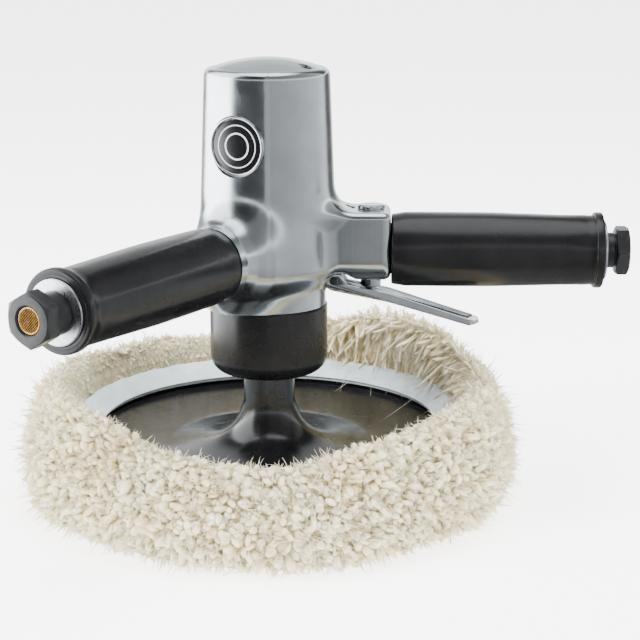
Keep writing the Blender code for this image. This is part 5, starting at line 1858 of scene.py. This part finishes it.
        length *= (1.0 - 0.35 * low) * (1.0 - 0.45 * inner * (1.0 - drape))
        length *= 1.0 - 0.35 * np.exp(-((share - self.crest_share) / 0.09) ** 2)
        width = draw.uniform(*style.width, rows.size) * (1.0 - 0.42 * inner)
        sag = np.array([0.0, 0.0, 0.2]) * (1.0 - low)[:, None]
        bend = draw.normal(0.0, style.curl, (rows.size, 3)) - sag
        return self.grow(style, root - normal * style.sunk, heading, bend, length, width, draw)

    def grow(self, style: LockStyle, root: np.ndarray, heading: np.ndarray, bend: np.ndarray,
             length: np.ndarray, width: np.ndarray, draw: np.random.Generator) -> Piece:
        """Build every lock's mesh at once.

        Args:
            style: The locks' profile and how finely they are made.
            root: Where each lock starts.
            heading: Its first direction.
            bend: How its direction changes along it.
            length: Its length.
            width: Its half width at the belly.
            draw: The seeded source of chance.

        Returns:
            All locks as one piece, with their own UV map.
        """
        count = root.shape[0]
        levels = np.array(style.levels)
        belly = np.array(style.swell)
        ring_count = len(levels) - 1
        side = np.cross(heading, np.array([0.31, 0.17, 0.93]))
        side /= np.maximum(np.linalg.norm(side, axis=1), 1e-6)[:, None]
        other = np.cross(heading, side)
        spin = draw.uniform(0.0, FULL_TURN, count)
        flat = draw.uniform(0.6, 1.0, count)
        twist = draw.uniform(-1.2, 1.2, count)
        rings = []
        for level, swell in zip(levels[:-1], belly[:-1]):
            droop = bend * (length * level ** 2 * 0.55)[:, None]
            centre = root + heading * (length * level)[:, None] + droop
            for number in range(style.sides):
                turn = spin + twist * level + FULL_TURN * number / style.sides
                jitter = width * swell * draw.uniform(0.82, 1.18, count)
                rings.append(centre + side * (np.cos(turn) * jitter)[:, None]
                             + other * (np.sin(turn) * jitter * flat)[:, None])
        tip = root + heading * length[:, None] + bend * (length * 0.55)[:, None]
        rings.append(tip)
        per_lock = len(rings)
        points = np.stack(rings, axis=1).reshape(-1, 3)
        points[:, 2] = np.maximum(points[:, 2], 0.0002)
        pattern = self.lock_faces(style, ring_count, per_lock - 1)
        starts = range(0, count * per_lock, per_lock)
        faces = [tuple(start + corner for corner in face) for start in starts for face in pattern]
        mesh = bpy.data.meshes.new("locks")
        mesh.from_pydata(points.tolist(), [], faces)
        uv = mesh.uv_layers.new(name="lock")
        # V runs from 0 at each lock's root to 1 at its tip; the wool finish paints shade at the root from
        # it.
        shades = []
        for face in pattern:
            for corner in face:
                level = 1.0 if corner == per_lock - 1 else levels[corner // style.sides]
                shades.append(((corner % style.sides) / style.sides, level))
        every = np.tile(np.array(shades), (count, 1))
        every[:, 0] += np.repeat(draw.uniform(0.0, 40.0, count), len(shades))
        uv.data.foreach_set("uv", every.ravel())
        return Bench.add_mesh("locks", mesh)

    @staticmethod
    def lock_faces(style: LockStyle, rings: int, tip: int) -> list[tuple[int, ...]]:
        """Return one lock's faces: its sides, the cone at its tip and the cap at its root.

        Args:
            style: The lock's profile.
            rings: How many rings of points it has.
            tip: Number of the point at its tip.

        Returns:
            The faces, as numbers of points.
        """
        sides = style.sides
        quads, ends = [], []
        for ring in range(rings - 1):
            low, high = ring * sides, (ring + 1) * sides
            for number in range(sides):
                after = (number + 1) % sides
                quads.append((low + number, low + after, high + after, high + number))
        top = (rings - 1) * sides
        for number in range(sides):
            ends.append((top + number, top + (number + 1) % sides, tip))
        return quads + ends + [tuple(range(sides - 1, -1, -1))]

    def hem(self) -> None:
        """Model the folded cloth hem with a rounded fold and the open inner edge."""
        wall, deep, width = 0.0005, self.hem_thickness, self.hem_width
        inner = width - 0.0015
        outline = [self.hem_point(0.0, 0.0)]
        outline += [self.hem_point(width * step / 4.0, 0.0) for step in range(1, 4)]
        outline += self.fold(width, deep)
        for step in (3, 2, 1, 0):
            outline.append(self.hem_point(width * step / 4.0, deep + 0.0003 * (step % 2)))
        outline += [self.hem_point(0.0, deep - wall), self.hem_point(inner, deep - wall)]
        outline += [self.hem_point(width - wall, deep / 2.0), self.hem_point(inner, wall)]
        outline += [self.hem_point(0.0, wall)]
        hem = Bench.spin("bonnet_hem_fine", outline, 192)
        place = Bench.places(hem)
        turn = np.arctan2(place[:, 1], place[:, 0])
        pucker = 0.00022 * np.sin(turn * 46.0) + 0.00018 * np.sin(turn * 29.0 + 1.0)
        inward = np.hypot(place[:, 0], place[:, 1])
        place[:, 2] += pucker * ease(inward, 0.088, 0.096)
        Bench.move_places(hem, place)
        finished(Bench.smooth(hem, 50.0), HEM_CLOTH, Body.SPINDLE, "hem_cloth", "bonnet_hem")

    def fold(self, along: float, deep: float) -> Outline:
        """Return the rounded fold at the hem's outer edge."""
        reach = deep / 2.0
        return [self.hem_point(*point) for point in arc((along - reach, reach), reach, -90.0, 90.0, 6)]

    def drawstring(self) -> None:
        """Model the twisted drawstring inside the hem."""
        centre = self.hem_point(self.hem_width - 0.0015, self.hem_thickness / 2.0)
        string = Bench.spin("bonnet_drawstring_fine", arc(centre, 0.0007, 0.0, 324.0, 9), 192)
        finished(Bench.smooth(string, 60.0), CORD_COTTON, Body.SPINDLE, "cord_cotton", "bonnet_drawstring")

    def build(self) -> None:
        """Model the whole bonnet."""
        fleece = Bench.join([self.skin(), self.locks(TUFTS), self.locks(STRANDS)], "bonnet_fleece")
        Bench.smooth(fleece, 80.0)
        finished(fleece, LAMBSWOOL, Body.SPINDLE, "wool", "bonnet")
        self.hem()
        self.drawstring()


@dataclass
class HiddenWorks:
    """The inner pieces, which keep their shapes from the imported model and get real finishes."""

    finishes: dict[str, Finish] = field(default_factory=lambda: {
        "spindle_seal": SEAL_RUBBER, "stem_seal": SEAL_RUBBER,
        "lower_spindle_bearing": BEARING_STEEL, "upper_spindle_bearing": BEARING_STEEL,
        "lower_rotor_bearing": BEARING_STEEL, "upper_rotor_bearing": BEARING_STEEL,
        "silencer": FELT, "valve_seat": BRASS, "inlet_screen": BRASS,
        "vane_1": PHENOLIC, "vane_2": PHENOLIC, "vane_3": PHENOLIC, "vane_4": PHENOLIC, "vane_5": PHENOLIC,
    })

    def build(self, nodes: dict[str, bpy.types.Object]) -> None:
        """Give every node that still shows its finish.

        Args:
            nodes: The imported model's nodes by name.
        """
        for name, node in sorted(nodes.items()):
            if node.hide_render:
                continue
            finish = self.finishes.get(name, GROUND_STEEL)
            node.data.materials.clear()
            node.data.materials.append(finish.material())
            log.info("%s: keeps its shape, %s", name, finish.name)


@dataclass
class Studio:
    """Camera, soft lights and the pale floor."""

    eye: tuple[float, float, float] = (0.0512, -0.7984, 0.2863)
    sight: tuple[float, float, float] = (-0.0311, 0.9699, -0.2416)
    lens: float = 92.67
    sensor: float = 36.0
    floor_glow: float = 3.2
    floor_size: float = 40.0
    floor_height: float = -0.0004
    fill: float = 1.5

    def camera(self) -> None:
        """Add the camera and make it the scene's own."""
        Bench.clear()
        bpy.ops.object.camera_add(location=self.eye)
        camera = bpy.context.object
        camera.name = "camera"
        camera.rotation_mode = "QUATERNION"
        camera.rotation_quaternion = Vector(self.sight).to_track_quat("-Z", "Y")
        camera.data.lens = self.lens
        camera.data.sensor_width = self.sensor
        camera.data.clip_start = 0.01
        bpy.context.scene.camera = camera

    def panel(self, name: str, place: tuple[float, float, float], aim: tuple[float, float, float],
              size: tuple[float, float], power: float) -> None:
        """Add one soft light panel that mirrors don't show.

        Args:
            name: Name of the light.
            place: Where it stands.
            aim: What it points at.
            size: Its width and height.
            power: Its power in watts.
        """
        Bench.clear()
        bpy.ops.object.light_add(type="AREA", location=place)
        lamp = bpy.context.object
        lamp.name = name
        lamp.rotation_mode = "QUATERNION"
        lamp.rotation_quaternion = (Vector(aim) - Vector(place)).to_track_quat("-Z", "Y")
        lamp.data.shape = "RECTANGLE"
        lamp.data.size = size[0]
        lamp.data.size_y = size[1]
        lamp.data.energy = power
        lamp.visible_glossy = False

    def floor(self) -> None:
        """Add the pale floor."""
        Bench.clear()
        bpy.ops.mesh.primitive_plane_add(size=self.floor_size, location=(0.0, 0.0, self.floor_height))
        floor = Bench.settle(Bench.name(bpy.context.object, "floor"))
        paint = bpy.data.materials.new("floor_paint")
        paint.use_nodes = True
        feed(paint.node_tree, paint.node_tree.nodes["Principled BSDF"], {
            "Base Color": (0.88, 0.88, 0.88, 1.0),
            "Roughness": 0.9,
            "Specular IOR Level": 0.0,
            "Emission Color": (1.0, 1.0, 1.0, 1.0),
            "Emission Strength": self.floor_glow,
        })
        floor.data.materials.append(paint)
        floor.visible_glossy = False

    def sky(self) -> None:
        """Light the room evenly."""
        world = bpy.data.worlds.new("room")
        world.use_nodes = True
        feed(world.node_tree, world.node_tree.nodes["Background"], {
            "Color": (0.97, 0.98, 1.0, 1.0), "Strength": self.fill,
        })
        bpy.context.scene.world = world

    def build(self) -> None:
        """Set up the whole studio."""
        self.camera()
        self.floor()
        self.sky()
        centre = (0.0, 0.0, 0.11)
        self.panel("left_softbox", (-1.1, -0.6, 0.85), centre, (0.7, 0.8), 45.0)
        self.panel("right_softbox", (1.2, -0.7, 0.8), centre, (0.6, 0.8), 26.0)
        self.panel("top_softbox", (0.1, 0.0, 1.5), centre, (1.0, 0.9), 40.0)
        ReflectionDome().build()


@dataclass
class ReflectionDome:
    """A dome of soft cards that only reflections see, which shapes the tones of metal and rubber."""

    radius: float = 1.6
    height: float = 0.12
    brightness: float = 9.0
    around: tuple[tuple[float, float], ...] = (
        (-180.0, 1.0), (-157.0, 1.0), (-149.0, 0.007), (-93.0, 0.010), (-86.0, 0.055),
        (-40.0, 0.070), (10.0, 0.110), (32.0, 0.16), (42.0, 0.012), (62.0, 0.02), (76.0, 0.22),
        (108.0, 0.22), (122.0, 0.03), (132.0, 0.05), (142.0, 1.0), (180.0, 1.0),
    )
    upwards: tuple[tuple[float, float], ...] = (
        (0.00, 0.0), (0.04, 0.0), (0.14, 0.45), (0.30, 0.75), (0.38, 1.0),
        (0.60, 1.0), (0.70, 0.55), (0.90, 0.4), (0.98, 0.0), (1.0, 0.0),
    )
    strips: tuple[tuple[float, float], ...] = (
        (0.0, 0.07), (0.04, 0.07), (0.16, 0.0), (0.598, 0.0), (0.612, 0.22),
        (0.635, 0.22), (0.65, 0.0), (0.93, 0.0), (0.97, 0.40), (1.0, 0.40),
    )

    def ramp(self, tree: Tree, share: Socket, stops: tuple[tuple[float, float], ...]) -> Socket:
        """Turn a share into brightness by a list of stops.

        Args:
            tree: The node tree.
            share: Socket with values from 0 to 1.
            stops: Places from 0 to 1 with their brightness.

        Returns:
            The brightness socket.
        """
        scale = add_node(tree, "ValToRGB", {"Fac": share})
        elements = scale.color_ramp.elements
        while len(elements) < len(stops):
            elements.new(0.5)
        for element, (place, value) in zip(elements, stops):
            element.position = place
            element.color = (value, value, value, 1.0)
        return scale.outputs["Color"]

    def paint(self) -> bpy.types.Material:
        """Mix the dome's glow: cards round the sides, a strip over them, soft ends above and below.

        Returns:
            The glowing paint.
        """
        paint = bpy.data.materials.new("reflection_dome")
        paint.use_nodes = True
        tree = paint.node_tree
        spot = add_node(tree, "TexCoord", {}).outputs["Object"]
        radial = add_node(tree, "TexGradient", {"Vector": spot}, gradient_type="RADIAL")
        split = add_node(tree, "SeparateXYZ", {"Vector": spot})
        level = add_node(tree, "MapRange", {
            "Value": split.outputs["Z"], "From Min": -self.radius, "From Max": self.radius,
        }).outputs["Result"]
        turns = tuple(((turn + 180.0) / 360.0, value) for turn, value in self.around)
        sides = self.ramp(tree, radial.outputs["Fac"], turns)
        heights = self.ramp(tree, level, self.upwards)
        strips = self.ramp(tree, level, self.strips)
        cards = add_node(tree, "Math", {0: sides, 1: heights}, operation="MULTIPLY")
        total = add_node(tree, "Math", {0: cards.outputs["Value"], 1: strips}, operation="ADD")
        tint = add_node(tree, "Mix", {
            "Factor": 1.0, "A": (0.96, 0.985, 1.0, 1.0), "B": total.outputs["Value"],
        }, data_type="RGBA", blend_type="MULTIPLY")
        feed(tree, tree.nodes["Principled BSDF"], {
            "Base Color": (0.0, 0.0, 0.0, 1.0),
            "Specular IOR Level": 0.0,
            "Roughness": 1.0,
            "Emission Color": tint.outputs["Result"],
            "Emission Strength": self.brightness,
        })
        return paint

    def build(self) -> None:
        """Add the dome."""
        Bench.clear()
        bpy.ops.mesh.primitive_uv_sphere_add(segments=96, ring_count=48, radius=self.radius,
                                             location=(0.0, 0.0, self.height))
        dome = Bench.name(bpy.context.object, "reflection_dome")
        dome.data.materials.append(self.paint())
        for ray in ("camera", "diffuse", "shadow", "transmission", "volume_scatter"):
            setattr(dome, f"visible_{ray}", False)


def main() -> None:
    """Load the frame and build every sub-assembly over it."""
    logging.basicConfig(level=logging.INFO, format="%(message)s")
    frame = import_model()
    nodes = frame["nodes"]
    assemblies: list[Callable[[], None]] = [
        MotorHousing().build,
        OilPlug().build,
        Badge().build,
        BearingCollar().build,
        Handle("inlet", turn=0.0, start=INLET_START, end=0.1643, neck=0.0086, hex_flats=0.0220,
               hex_length=0.0064, bore=0.0057, upright=Upright.CORNER, lead=0.0009).build,
        Handle("exhaust", turn=EXHAUST_TURN, start=EXHAUST_START, end=0.1589, neck=0.0095,
               hex_flats=0.0215, hex_length=0.0080, bore=0.0062, upright=Upright.FLAT).build,
        ExhaustScreen().build,
        lambda: ThrottleValve().build(nodes),
        lambda: Lever().build(nodes),
        BackingPad().build,
        Bonnet().build,
        lambda: HiddenWorks().build(nodes),
        Studio().build,
    ]
    for build in assemblies:
        build()
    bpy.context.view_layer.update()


if __name__ == "__main__":
    main()
